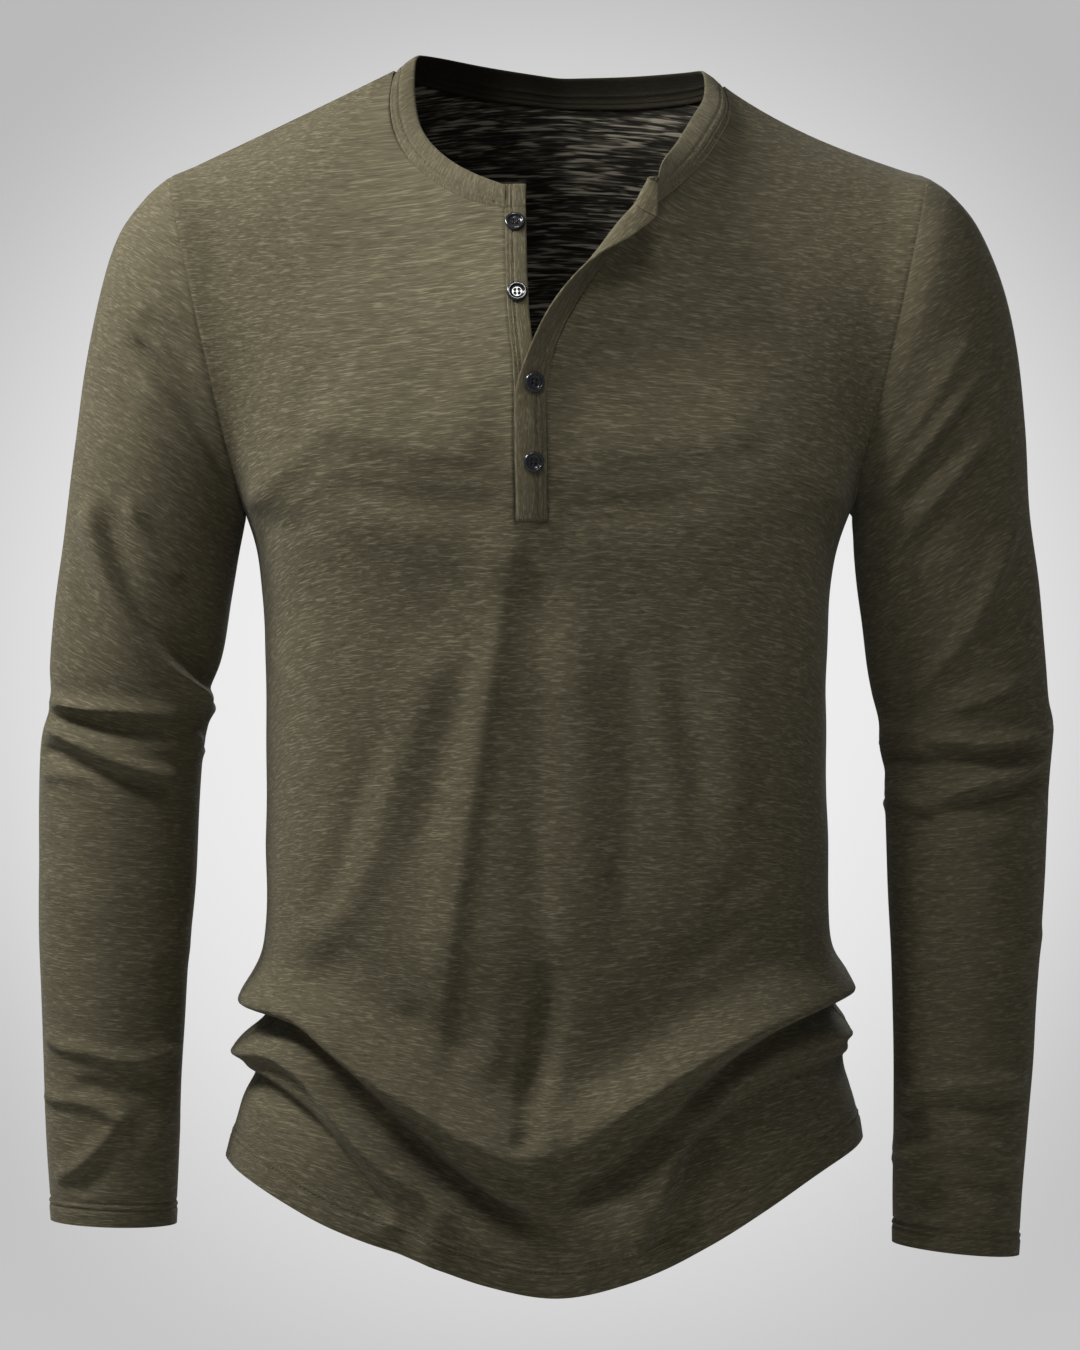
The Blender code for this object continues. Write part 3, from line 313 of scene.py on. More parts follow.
FRONT_FOLDS = (
    # the cloth rolls out over two swags that meet in the middle, and drops in under them
    Fold(((-196, -542), (-170, -544), (-140, -557), (-112, -577), (-79, -598), (-45, -619),
          (-16, -631), (6, -635)), 11.0, 15, 6, 4, 30),
    Fold(((-6, -629), (6, -620), (30, -604), (51, -589), (94, -563), (130, -546), (164, -534),
          (184, -532)), 11.0, 16, 7, 36, 4),
    Fold(((-186, -556), (-168, -553), (-150, -556), (-129, -574), (-112, -592), (-88, -614),
          (-60, -638), (-30, -656), (2, -664)), -15.0, 5, 10, 10, 30),
    Fold(((-6, -656), (24, -640), (56, -614), (80, -592), (104, -572), (132, -557),
          (158, -549), (184, -549)), -13.0, 5, 12, 36, 6),
    # the crests are sharp
    Fold(((-176, -544), (-140, -558), (-112, -578), (-79, -599), (-45, -620), (-16, -632)),
         2.4, 6, 3, 10, 40),
    Fold(((20, -611), (51, -590), (94, -564), (130, -547), (164, -535)), 2.4, 6, 3, 40, 10),
    # hollows above the rolls
    Fold(((-158, -514), (-118, -532), (-78, -556), (-40, -582), (-12, -600)),
         -5.5, 26, 13, 30, 16),
    Fold(((0, -590), (28, -574), (66, -546), (104, -524), (148, -508)), -5.5, 26, 13, 16, 30),
    # the second roll of each side
    Fold(((-198, -575), (-180, -573), (-162, -571), (-144, -581), (-125, -604), (-95, -635),
          (-64, -657)), 9.0, 8, 4, 4, 40),
    Fold(((-192, -588), (-179, -587), (-151, -600), (-125, -623), (-102, -650), (-87, -664)),
         -9.5, 4, 8, 6, 24),
    Fold(((70, -618), (81, -604), (104, -582), (134, -567), (160, -562), (186, -565)),
         8.0, 7, 4, 24, 4),
    Fold(((56, -646), (78, -619), (104, -597), (134, -583), (158, -578), (184, -580)),
         -8.0, 4, 14, 26, 6),
    # under the swags the hem falls back and faces down
    Fold(((-128, -690), (-62, -710), (0, -718), (62, -710), (124, -682)), -9.0, 34, 34, 60, 60),
    # the belly is a little hollow between the chest and the hem
    Fold(((-130, -400), (-60, -408), (0, -410), (60, -408), (118, -400)), -5.0, 90, 80, 70, 70),
    # the belly comes to a soft keel under the placket
    Fold(((-22, -300), (-26, -380), (-24, -460), (-20, -560)), 9.0, 62, 66, 70, 70),
    # the cloth right of the middle folds over once more below its swag
    Fold(((76, -590), (68, -616), (56, -648), (44, -676), (38, -694)), 5.5, 18, 5, 14, 16),
    Fold(((88, -602), (78, -630), (66, -656), (56, -682)), -5.0, 6, 20, 20, 16),
    # small dents over the swags
    Fold(((-92, -540), (-72, -556), (-50, -574)), -2.6, 9, 6, 14, 14),
    Fold(((60, -528), (86, -508), (118, -492)), -3.0, 10, 8, 18, 22),
    Fold(((84, -500), (98, -478), (122, -462)), -2.2, 9, 9, 14, 20),
    # a wave in the hem
    Fold(((-62, -640), (-70, -668), (-74, -700)), 3.0, 7, 8, 20, 0.1),
    Fold(((-84, -650), (-92, -676), (-96, -700)), -2.6, 8, 7, 20, 0.1),
    # the two long pulls from the placket's foot
    Fold(((-23, -268), (-28, -290), (-34, -326), (-41, -372), (-48, -419), (-55, -465),
          (-62, -511), (-68, -556), (-74, -590)), 4.8, 16, 7, 30, 60),
    Fold(((-14, -286), (-13, -330), (-13, -380), (-13, -430), (-12, -480), (-11, -540),
          (-8, -600)), -3.4, 8, 14, 30, 60),
    # a trough runs down to where the swags meet
    Fold(((-2, -500), (-6, -530), (-12, -566), (-17, -592), (-20, -624)), -6.5, 7, 9, 50, 7),
    # the cloth faces down left of the middle, under the first swag
    Fold(((-96, -606), (-56, -640), (-18, -668), (16, -682)), -8.0, 7, 15, 24, 26),
    # a low ridge beside that trough
    Fold(((-34, -520), (-36, -556), (-40, -590)), 2.6, 10, 6, 40, 24),
    # more pulls from under the placket, which fan out on both sides
    Fold(((-37, -294), (-46, -344), (-60, -384), (-69, -419), (-80, -453), (-87, -499)),
         -1.8, 9, 12, 30, 60),
    Fold(((-58, -325), (-73, -361), (-92, -409), (-108, -465), (-134, -505), (-160, -530)),
         2.8, 15, 10, 40, 40),
    Fold(((-96, -380), (-114, -430), (-130, -480), (-150, -508)), -2.6, 8, 9, 40, 40),
    Fold(((8, -300), (12, -370), (14, -440), (18, -510)), 2.4, 9, 12, 40, 70),
    Fold(((34, -330), (38, -390), (36, -460), (30, -540)), -3.2, 9, 11, 40, 70),
    Fold(((62, -318), (66, -350), (75, -396), (84, -450)), -3.2, 7, 13, 30, 50),
    Fold(((52, -330), (56, -370), (64, -420), (70, -480)), 2.8, 10, 8, 40, 60),
    Fold(((96, -330), (98, -400), (92, -480)), 3.0, 13, 9, 50, 60),
    # the chest, and the hollow under it
    Fold(((-150, -206), (-116, -222), (-78, -231), (-34, -232)), 4.0, 30, 9, 30, 20),
    Fold(((-136, -246), (-104, -256), (-66, -261), (-27, -263)), -3.2, 8, 13, 20, 20),
    Fold(((4, -230), (50, -231), (90, -224), (130, -208)), 3.2, 30, 9, 20, 30),
    Fold(((-4, -262), (30, -264), (62, -260), (100, -250)), -2.8, 8, 13, 12, 40),
    Fold(((-150, -300), (-136, -350), (-130, -410)), 1.8, 12, 12, 40, 50),
    Fold(((150, -300), (138, -340), (130, -400)), 1.8, 12, 12, 40, 50),
    # drags into the underarms
    Fold(((-178, -262), (-160, -246), (-138, -226), (-120, -204)), 2.2, 8, 7, 8, 40),
    Fold(((-176, -274), (-150, -272), (-118, -262)), -1.8, 7, 8, 8, 40),
    Fold(((160, -262), (142, -244), (124, -222), (112, -202)), 2.2, 8, 7, 8, 40),
    Fold(((160, -276), (134, -272), (106, -262)), -1.8, 7, 8, 8, 40),
)
BACK_FOLDS = (
    # the first roll over the hem on each side, and the trough under it
    Fold(((-190, -532), (-150, -552), (-105, -578), (-50, -598), (10, -604)),
         8.5, 24, 9, 5, 60),
    Fold(((-184, -545), (-150, -564), (-100, -592), (-40, -614), (10, -620)),
         -6, 6, 12, 6, 50),
    Fold(((180, -520), (130, -540), (86, -564), (30, -584)), 8.5, 9, 22, 5, 60),
    Fold(((176, -534), (128, -555), (80, -580), (20, -600)), -5.5, 12, 6, 6, 50),
    # the second roll of each side, and its trough
    Fold(((-196, -560), (-160, -580), (-110, -614), (-60, -638)), 6.5, 12, 7, 4, 45),
    Fold(((-190, -574), (-156, -594), (-108, -628), (-66, -650)), -5, 5, 10, 6, 40),
    Fold(((184, -549), (140, -568), (96, -598), (50, -622)), 6.5, 7, 12, 4, 45),
    Fold(((178, -560), (138, -582), (98, -612), (60, -634)), -4.5, 10, 5, 6, 40),
    # soft folds down the small of the back
    Fold(((-60, -330), (-66, -400), (-58, -480)), 3.0, 14, 14, 60, 60),
    Fold(((44, -320), (52, -390), (46, -470)), 3.0, 14, 16, 60, 60),
    Fold(((-8, -330), (-4, -410), (-8, -490)), -2.6, 10, 10, 60, 60),
    Fold(((100, -360), (112, -420), (104, -480)), 2.0, 12, 12, 50, 50),
    Fold(((-116, -350), (-122, -420), (-112, -480)), 2.0, 12, 12, 50, 50),
    # drags into the underarms
    Fold(((-176, -266), (-140, -240), (-104, -196)), 2.2, 10, 10, 8, 50),
    Fold(((158, -266), (124, -240), (92, -196)), 2.2, 10, 10, 8, 50),
)
SLEEVE_RIGHT_FOLDS = (
    # drags into the underarm
    Fold(((-250, -160), (-238, -172), (-213, -202), (-197, -224), (-185, -246)),
         -4.6, 4, 6, 20, 4),
    Fold(((-244, -184), (-222, -206), (-206, -226), (-190, -250)), 3.0, 3.4, 9, 20, 6),
    Fold(((-241, -148), (-222, -168), (-201, -200), (-188, -224)), -2.4, 6, 6, 15, 10),
    # the long crease from the upper arm to the inside of the elbow
    Fold(((-270, -250), (-264, -277), (-256, -302), (-240, -332), (-224, -352), (-210, -364),
          (-199, -374)), 5.8, 2.4, 13, 24, 14),
    Fold(((-266, -254), (-259, -276), (-250, -300), (-235, -327), (-219, -347), (-205, -359),
          (-196, -368)), -3.4, 10, 2.2, 24, 6),
    # a shorter crease beside it
    Fold(((-248, -252), (-239, -274), (-227, -292), (-213, -305)), 3.0, 2.6, 9, 16, 10),
    Fold(((-241, -261), (-229, -280), (-217, -296), (-200, -308)), -1.6, 6, 8, 20, 10),
    # the elbow's rolls and the troughs between them
    Fold(((-300, -371), (-282, -375), (-251, -377), (-234, -378), (-206, -378)),
         4.4, 6, 5, 18, 22),
    Fold(((-298, -379), (-276, -384), (-250, -388), (-222, -390)), -4.2, 3.5, 5, 5, 24),
    Fold(((-301, -388), (-289, -390), (-273, -397), (-255, -406), (-239, -412), (-215, -418)),
         5.0, 6, 5, 16, 14),
    Fold(((-300, -398), (-282, -404), (-262, -413), (-239, -420), (-218, -426)),
         -3.6, 3.5, 6, 6, 14),
    Fold(((-301, -414), (-283, -414), (-262, -416), (-240, -424)), 2.0, 5, 6, 8, 22),
    Fold(((-206, -392), (-222, -398), (-240, -399)), 2.2, 5, 5, 4, 18),
    # the forearm gathers above the cuff
    Fold(((-298, -560), (-289, -568), (-267, -573), (-252, -577), (-235, -577), (-219, -570)),
         2.6, 6, 4.5, 10, 8),
    Fold(((-280, -588), (-259, -592), (-243, -592), (-224, -586)), -2.2, 5, 6, 12, 10),
    Fold(((-298, -598), (-285, -600), (-269, -601), (-256, -608), (-240, -610)),
         2.4, 5, 4.5, 6, 14),
    Fold(((-246, -606), (-255, -617), (-268, -632), (-290, -648)), 2.4, 6, 5, 10, 8),
    Fold(((-252, -628), (-262, -640), (-280, -652)), -1.8, 5, 6, 10, 8),
    Fold(((-222, -606), (-232, -622), (-240, -640)), 1.6, 6, 6, 8, 16),
    # two soft swells between elbow and cuff
    Fold(((-300, -470), (-280, -486), (-262, -510)), 1.2, 9, 9, 10, 30),
    Fold(((-214, -500), (-232, -520), (-250, -532)), 1.2, 9, 9, 10, 30),
)
SLEEVE_LEFT_FOLDS = (
    # drags into the underarm
    Fold(((240, -160), (220, -186), (205, -210), (191, -229), (178, -246)), 2.2, 7, 7, 25, 10),
    Fold(((250, -172), (232, -195), (214, -219), (194, -245), (180, -262)), 2.6, 7, 5, 25, 10),
    Fold(((245, -190), (228, -214), (210, -238), (190, -262)), -2.2, 5, 6, 20, 10),
    Fold(((256, -200), (241, -224), (223, -247), (206, -268), (192, -287), (182, -300)),
         2.6, 7, 5, 25, 12),
    Fold(((250, -222), (233, -246), (214, -268), (196, -292)), -2.0, 5, 6, 20, 12),
    # long creases from the upper arm to the inside of the elbow
    Fold(((262, -262), (254, -288), (241, -319), (226, -342), (210, -360), (198, -374)),
         2.8, 8, 6, 25, 15),
    Fold(((266, -290), (252, -322), (236, -346), (216, -366)), -2.0, 6, 7, 25, 15),
    Fold(((272, -352), (256, -364), (239, -372), (216, -378)), 2.6, 6, 5, 12, 20),
    # the elbow's rolls and the troughs between them
    Fold(((287, -386), (277, -390), (249, -396), (219, -395), (200, -394)), 4.2, 5, 4.5, 14, 24),
    Fold(((184, -404), (210, -407), (239, -403), (265, -404), (280, -400)), -3.2, 4, 5, 8, 12),
    Fold(((284, -404), (273, -406), (262, -413), (239, -420), (213, -428)), 4.2, 5, 4.5, 14, 22),
    Fold(((282, -414), (262, -422), (239, -429), (213, -437), (193, -442)), -2.8, 4, 6, 6, 14),
    Fold(((186, -390), (204, -388), (222, -386)), 2.4, 5, 5, 4, 18),
    Fold(((188, -422), (204, -430), (226, -446)), 2.2, 6, 6, 4, 25),
    Fold(((282, -430), (262, -440), (240, -452)), 1.6, 7, 7, 6, 25),
    # the forearm gathers above the cuff
    Fold(((194, -592), (205, -593), (232, -591), (258, -589), (270, -586)), 2.6, 5, 4.5, 8, 10),
    Fold(((194, -606), (206, -605), (228, -603), (255, -601), (268, -598)), -2.4, 4, 5, 8, 10),
    Fold(((196, -634), (198, -629), (225, -625), (255, -631), (266, -636)), 2.4, 5, 4.5, 4, 10),
    Fold(((204, -646), (219, -648), (236, -649), (263, -645)), -2.0, 5, 6, 10, 8),
    Fold(((200, -664), (228, -662), (256, -668)), 1.4, 6, 6, 10, 12),
    # a soft swell between elbow and cuff
    Fold(((280, -500), (262, -516), (246, -540)), 1.2, 9, 9, 10, 30),
)


# ---------------------------------------------------------------- curves
def hermite(t: Array, low: Array, leave: Array, high: Array, arrive: Array) -> Array:
    """Return a smooth way between two values with given slopes at its ends.

    Args:
        t: Share of the way, 0 to 1.
        low: Value at the start.
        leave: Change over the whole way at the slope of the start.
        high: Value at the end.
        arrive: Change over the whole way at the slope of the end.

    Returns:
        The values.
    """
    return ((2 * t**3 - 3 * t**2 + 1) * low + (t**3 - 2 * t**2 + t) * leave
            + (3 * t**2 - 2 * t**3) * high + (t**3 - t**2) * arrive)


def hermite_through(levels: Array, values: Array, at: Array) -> Array:
    """Read a smooth curve through given values.

    Args:
        levels: Rising levels of the given values.
        values: One row of values for each level.
        at: New levels to read the curve at.

    Returns:
        The curve's values at the new levels.
    """
    slopes = np.gradient(values, levels, axis=0)
    at = np.clip(at, levels[0], levels[-1])
    cell = np.clip(np.searchsorted(levels, at, side="right") - 1, 0, len(levels) - 2)
    width = levels[cell + 1] - levels[cell]
    t = (at - levels[cell]) / width
    if values.ndim == 2:
        t, width = t[..., None], width[..., None]
    return hermite(t, values[cell], width * slopes[cell],
                   values[cell + 1], width * slopes[cell + 1])


def read(table: Sequence[Any], key: str, column: str, at: Any) -> Array:
    """Read a smooth curve through one column of a table.

    Args:
        table: Rows with named columns.
        key: The rising column.
        column: The column to read.
        at: Values of the rising column.

    Returns:
        The other column's values there.
    """
    levels = np.array([getattr(row, key) for row in table], dtype=float)
    values = np.array([getattr(row, column) for row in table], dtype=float)
    return hermite_through(levels, values, np.asarray(at, dtype=float))


def along(points: Sequence[Any], share: Any) -> Array:
    """Read a smooth curve through a few points.

    Args:
        points: The points that the curve passes.
        share: Shares of its length, 0 to 1.

    Returns:
        Points of the curve.
    """
    given = np.array(points, dtype=float)
    steps = np.linalg.norm(np.diff(given, axis=0), axis=1)
    levels = np.concatenate([[0.0], np.cumsum(steps)]) / steps.sum()
    return hermite_through(levels, given, np.asarray(share, dtype=float))


def ramp(low: float, high: float, value: Any) -> Array:
    """Return 0 below low, 1 above high and a soft ramp between them.

    Args:
        low: Where it starts.
        high: Where it ends.
        value: Where to read it.

    Returns:
        The ramp.
    """
    t = np.clip((np.asarray(value, dtype=float) - low) / (high - low), 0.0, 1.0)
    return t * t * (3 - 2 * t)


def unit(vectors: Array) -> Array:
    """Return vectors scaled to length one."""
    return vectors / np.maximum(np.linalg.norm(vectors, axis=-1, keepdims=True), 1e-9)


def bell(distance: Array, width: float) -> Array:
    """Return a soft bump, 1 at no distance."""
    return np.exp(-((distance / width) ** 2))


def ripple(distance: Array, short: float, long: float, sway: float = 2.0) -> Array:
    """Return the puckers beside a seam, waves of uneven length.

    Args:
        distance: Distance along the seam.
        short: Length scale of a pucker.
        long: Length scale of the change from one pucker to the next.
        sway: How uneven the puckers are.

    Returns:
        The puckers, from -1 to 1.
    """
    return np.sin(distance / short + sway * np.sin(distance / long))


class Groove(NamedTuple):
    """A line pressed into the cloth, or raised where its depth counts up."""

    depth: float
    width: float

    def at(self, distance: Array) -> Array:
        """Return the depth at a distance from the line."""
        return self.depth * bell(distance, self.width)


@dataclass(frozen=True)
class TurnedHem:
    """A turned hem sewn with two needles; its places are distances from the cut edge."""

    lines: Pair
    turn: Pair
    step: float
    groove: Groove
    puckers: Groove
    pucker_place: float
    pucker_lengths: Pair

    def relief(self, from_edge: Array, over: Array) -> Array:
        """Return how far the turned cloth stands out.

        Args:
            from_edge: Distance of each point from the hem's edge.
            over: Distance of each point along the hem.

        Returns:
            The relief at each point.
        """
        relief = self.step * ramp(*self.turn, from_edge)
        for line in self.lines:
            relief -= self.groove.at(from_edge - line)
        puckers = self.puckers.at(from_edge - self.pucker_place)
        return relief + ripple(over, *self.pucker_lengths) * puckers


def walked(grid: Array, axis: int) -> Array:
    """Return the distance walked over a grid from its first row or column.

    Args:
        grid: Rows and columns of points.
        axis: 0 to walk from row to row, 1 from column to column.

    Returns:
        The distance at each point.
    """
    steps = np.linalg.norm(np.diff(grid, axis=axis), axis=-1)
    start = np.zeros_like(np.take(steps, [0], axis=axis))
    return np.concatenate([start, np.cumsum(steps, axis=axis)], axis=axis)


def beside(grid: Array, closed: bool) -> tuple[Array, Array]:
    """Return a grid's columns and, for each one, the column ahead of it.

    Args:
        grid: Rows and columns of points or of their numbers.
        closed: Whether the last column meets the first.

    Returns:
        The columns and the columns ahead.
    """
    if closed:
        return grid, np.roll(grid, -1, axis=1)
    return grid[:, :-1], grid[:, 1:]


def crossed(grid: Array, closed: bool) -> Array:
    """Return the cross product of each cell's diagonals, twice its area long."""
    here, ahead = beside(grid, closed)
    return np.cross(ahead[1:] - here[:-1], here[1:] - ahead[:-1])


def facing_of(grid: Array, closed: bool = False) -> Array:
    """Average the facing of the cells round each point of a grid.

    Args:
        grid: Rows and columns of points.
        closed: Whether the last column meets the first.

    Returns:
        A direction for each point.
    """
    total = np.zeros_like(grid)
    cell = crossed(grid, closed)
    for rows in (slice(None, -1), slice(1, None)):
        if closed:
            total[rows] += cell
            total[rows] += np.roll(cell, 1, axis=1)
        else:
            total[rows, :-1] += cell
            total[rows, 1:] += cell
    return unit(total)


@dataclass(frozen=True)
class Creases:
    """A set of creases, read at points of the front view."""

    folds: tuple[Fold, ...]
    depth: float = 1.0
    sharp: float = 1.0
    samples: int = 25

    def lift(self, x: Array, z: Array) -> Array:
        """Return how far the creases lift the cloth.

        Args:
            x: Places across the front view.
            z: Places up the front view.

        Returns:
            The lift at each place.
        """
        total = np.zeros_like(x)
        for fold in self.folds:
            total += self._one(fold, x, z)
        return total

    def _one(self, fold: Fold, x: Array, z: Array) -> Array:
        """Return the lift of one crease.

        Args:
            fold: The crease.
            x: Places across the front view.
            z: Places up the front view.

        Returns:
            The lift at each place.
        """
        line = along(fold.path, np.linspace(0, 1, self.samples))
        best = np.full(x.shape, 1e9)
        offset = np.zeros_like(x)
        reached = np.zeros_like(x)
        length = 0.0
        turn = np.sign(line[-1, 0] - line[0, 0] + 1e-6)
        for start, end in zip(line[:-1], line[1:]):
            run = end - start
            size = float(np.hypot(*run))
            t = np.clip(((x - start[0]) * run[0] + (z - start[1]) * run[1]) / size**2, 0, 1)
            dx = x - start[0] - t * run[0]
            dz = z - start[1] - t * run[1]
            far = np.hypot(dx, dz)
            side = np.sign(run[0] * dz - run[1] * dx) * turn
            closer = far < best
            best = np.where(closer, far, best)
            offset = np.where(closer, side * far, offset)
            reached = np.where(closer, length + t * size, reached)
            length += size
        below = fold.below * (self.sharp if fold.height > 0 else 1.0)
        spread = np.where(offset > 0, fold.above, below)
        ends = ramp(0, fold.start, reached) * ramp(0, fold.end, length - reached)
        return fold.height * self.depth * bell(offset, spread) * ends


@dataclass(frozen=True)
class Unevenness:
    """Small, slow waves that keep the cloth from lying dead flat."""

    seed: int
    height: float = 0.35
    waves: int = 26
    shortest: float = 34.0
    longest: float = 120.0

    def lift(self, points: Array) -> Array:
        """Return the waves' lift at points of the cloth.

        Args:
            points: Points of the cloth.

        Returns:
            The lift at each point.
        """
        rng = np.random.default_rng(self.seed)
        total = np.zeros(points.shape[:-1])
        for _ in range(self.waves):
            length = rng.uniform(self.shortest, self.longest)
            way = unit(rng.normal(size=3))
            total += np.sin(points @ way * 2 * np.pi / length + rng.uniform(0, 2 * np.pi))
        return total * self.height / math.sqrt(self.waves)


# ---------------------------------------------------------------- the worn form
@dataclass(frozen=True)
class WornForm:
    """The shirt's worn shape, which every piece is fitted to.

    Shares run over a half panel, from 0 at its middle to 1 at its side. The fits are the
    shares between which the yoke is drawn onto its exact edges.
    """

    underarm_z: float = -263.0
    placket_foot_z: float = -271.5
    hem_z: float = -657.5
    roundness: float = 0.05
    armhole_half_depth: float = 61.0
    neck_share: float = 0.40
    neck_columns: int = 6
    shoulder_columns: int = 6
    body_rows: int = 26
    yoke_rows: int = 12
    row_crowding: float = 1.4
    relax_passes: int = 14
    relax_pull: float = 0.6
    slope_step: float = 2.0
    corner_ease: float = 0.3
    arm_roll: float = 4.0
    arm_loop_from: float = 0.45
    top_fit: Pair = (0.86, 1.0)
    side_fit: Pair = (0.88, 1.0)
    middle_fit: Pair = (0.12, 0.0)
    placket_fade: float = 2.2
    placket_reach: dict[Side, float] = field(
        default_factory=lambda: {Side.RIGHT: 0.30, Side.LEFT: 0.42})
    middle_angle: dict[Side, float] = field(
        default_factory=lambda: {Side.RIGHT: -4.9, Side.LEFT: 0.1})
    shoulder_point: dict[Side, Point] = field(
        default_factory=lambda: {Side.RIGHT: (-226.5, 6, -67.5), Side.LEFT: (212.5, 6, -67.5)})
    shoulder_sag: dict[Side, float] = field(
        default_factory=lambda: {Side.RIGHT: 0.5, Side.LEFT: 6.0})

    def across(self, theta: Array) -> Array:
        """Return how far across the body an angle lies, from -1 at the right to 1."""
        k = self.roundness
        return (np.sin(theta) + k * np.sin(3 * theta)) / (1 - k)

    def body(self, theta: Any, z: Any) -> tuple[Array, Array]:
        """Return points of the uncreased body and the way that the cloth faces there.

        Args:
            theta: Angles from the centre front, in radians.
            z: Levels.

        Returns:
            The points and their facing.
        """
        theta, z = np.broadcast_arrays(np.asarray(theta, float), np.asarray(z, float))
        half = read(SECTIONS, "z", "half_width", z)
        k = self.roundness
        ahead = (np.cos(theta) - k * np.cos(3 * theta)) / (1 - k)
        front, back = (read(SECTIONS, "z", column, z) for column in ("front", "back"))
        depth = np.where(ahead > 0, front, back)
        middle = read(SECTIONS, "z", "centre", z)
        point = np.stack([middle + half * self.across(theta), -depth * ahead, z], -1)
        turn_x = (np.cos(theta) + 3 * k * np.cos(3 * theta)) * half
        turn_y = (np.sin(theta) - 3 * k * np.sin(3 * theta)) * depth
        return point, unit(np.stack([turn_y, -turn_x, np.zeros_like(turn_x)], -1))

    def side_angle(self, side: Side, z: Any) -> Array:
        """Return the side seam's angle at a level, in radians."""
        return np.radians(read(SEAM_ANGLES, "z", side.name.lower(), z))

    def column_angle(self, panel: Panel, side: Side, share: Any, z: Any) -> Array:
        """Return a half panel column's angle; share is 0 at the middle and 1 at the side.

        Args:
            panel: Front or back.
            side: The wearer's side.
            share: Columns, 0 at the middle and 1 at the side seam.
            z: Level.

        Returns:
            The angle, in radians.
        """
        seam = self.side_angle(side, z)
        if panel is Panel.BACK:
            return side.value * math.pi + share * (seam - side.value * math.pi)
        middle = math.radians(self.middle_angle[side])
        return middle + share * (seam - middle)

    def hem_level(self, panel: Panel, theta: Array) -> Array:
        """Return the hem's level at angles round the body."""
        return read(HEM, "share", panel.name.lower(), self.across(theta))

    def base_level(self, share: Any) -> Array:
        """Return the level where a half panel's lower and upper rows meet."""
        rise = self.underarm_z - self.placket_foot_z
        return self.placket_foot_z + rise * np.asarray(share) ** 2

    def underarm(self, side: Side) -> Array:
        """Return the underarm point."""
        return self.body(self.side_angle(side, self.underarm_z), self.underarm_z)[0]

    def armhole(self, side: Side, phi: Any) -> Array:
        """Return armhole points; phi is 0 on the shoulder and a quarter turn in front.

        Args:
            side: The wearer's side.
            phi: Angle, 0 on the shoulder and a quarter turn in front.

        Returns:
            Points of the armhole.
        """
        top = np.array(self.shoulder_point[side], dtype=float)
        low = self.underarm(side)
        turn = np.asarray(phi, dtype=float)[..., None]
        forward = np.array([0.0, -self.armhole_half_depth, 0.0])
        return (top + low) / 2 + (top - low) / 2 * np.cos(turn) + forward * np.sin(turn)

    def top_edge(self, panel: Panel, side: Side, share: Any) -> Array:
        """Return a half panel's upper edge: neckline first, then shoulder seam.

        Args:
            panel: Front or back.
            side: The wearer's side.
            share: Columns, 0 at the middle and 1 at the side seam.

        Returns:
            Points of the edge.
        """
        share = np.asarray(share, dtype=float)
        seam = [row.seam for row in NECK[panel, side]]
        on_neck = along(seam, np.clip(share / self.neck_share, 0, 1))
        out = np.clip((share - self.neck_share) / (1 - self.neck_share), 0, 1)[..., None]
        corner = np.array(seam[-1], dtype=float)
        line = corner + (np.array(self.shoulder_point[side], dtype=float) - corner) * out
        line = line - np.array([0, 0, self.shoulder_sag[side]]) * np.sin(np.pi * out**0.8)
        return np.where(share[..., None] <= self.neck_share, on_neck, line)

    def top_direction(self, panel: Panel, side: Side, share: Any) -> Array:
        """Return the way a half panel's columns run as they reach its upper edge.

        Args:
            panel: Front or back.
            side: The wearer's side.
            share: Columns, 0 at the middle and 1 at the side seam.

        Returns:
            A direction for each column.
        """
        place = panel.name.lower()
        inward, deep, up = (read(ARRIVAL, "share", f"{place}_{way}", share)
                            for way in ("in", "deep", "up"))
        return unit(np.stack([-side.value * inward, -panel.value * deep, up], -1))

    def placket_edge(self, side: Side, share: Any, column: str) -> Array:
        """Return a line of a placket strip; share is 0 at its foot and 1 at the neck.

        Args:
            side: The wearer's side.
            share: Place up the strip, 0 at its foot and 1 at the neck.
            column: Which line: seam, crest or free.

        Returns:
            Points of the line.
        """
        table = BUTTON_SIDE if side is Side.RIGHT else HOLE_SIDE
        share = np.asarray(share, dtype=float)
        angle = self.column_angle(Panel.FRONT, side, 0.0, self.placket_foot_z)
        shift = self.body(angle, self.placket_foot_z)[0] - np.array(table[0].seam)
        line = along([getattr(row, column) for row in table], share)
        return line + shift * ((1 - share) ** 2)[..., None]

    def neck_facing(self, panel: Panel, side: Side, share: Array) -> Array:
        """Return the way the cloth faces along a half panel's neckline.

        Args:
            panel: Front or back.
            side: The wearer's side.
            share: Columns, 0 at the middle and 1 at the side seam.

        Returns:
            A direction for each column.
        """
        step = 0.01
        ahead, behind = (self.top_edge(panel, side, np.clip(place, 0, self.neck_share))
                         for place in (share + step, share - step))
        arrive = self.top_direction(panel, side, share)
        return unit(np.cross(ahead - behind, arrive)) * -panel.value * side.value

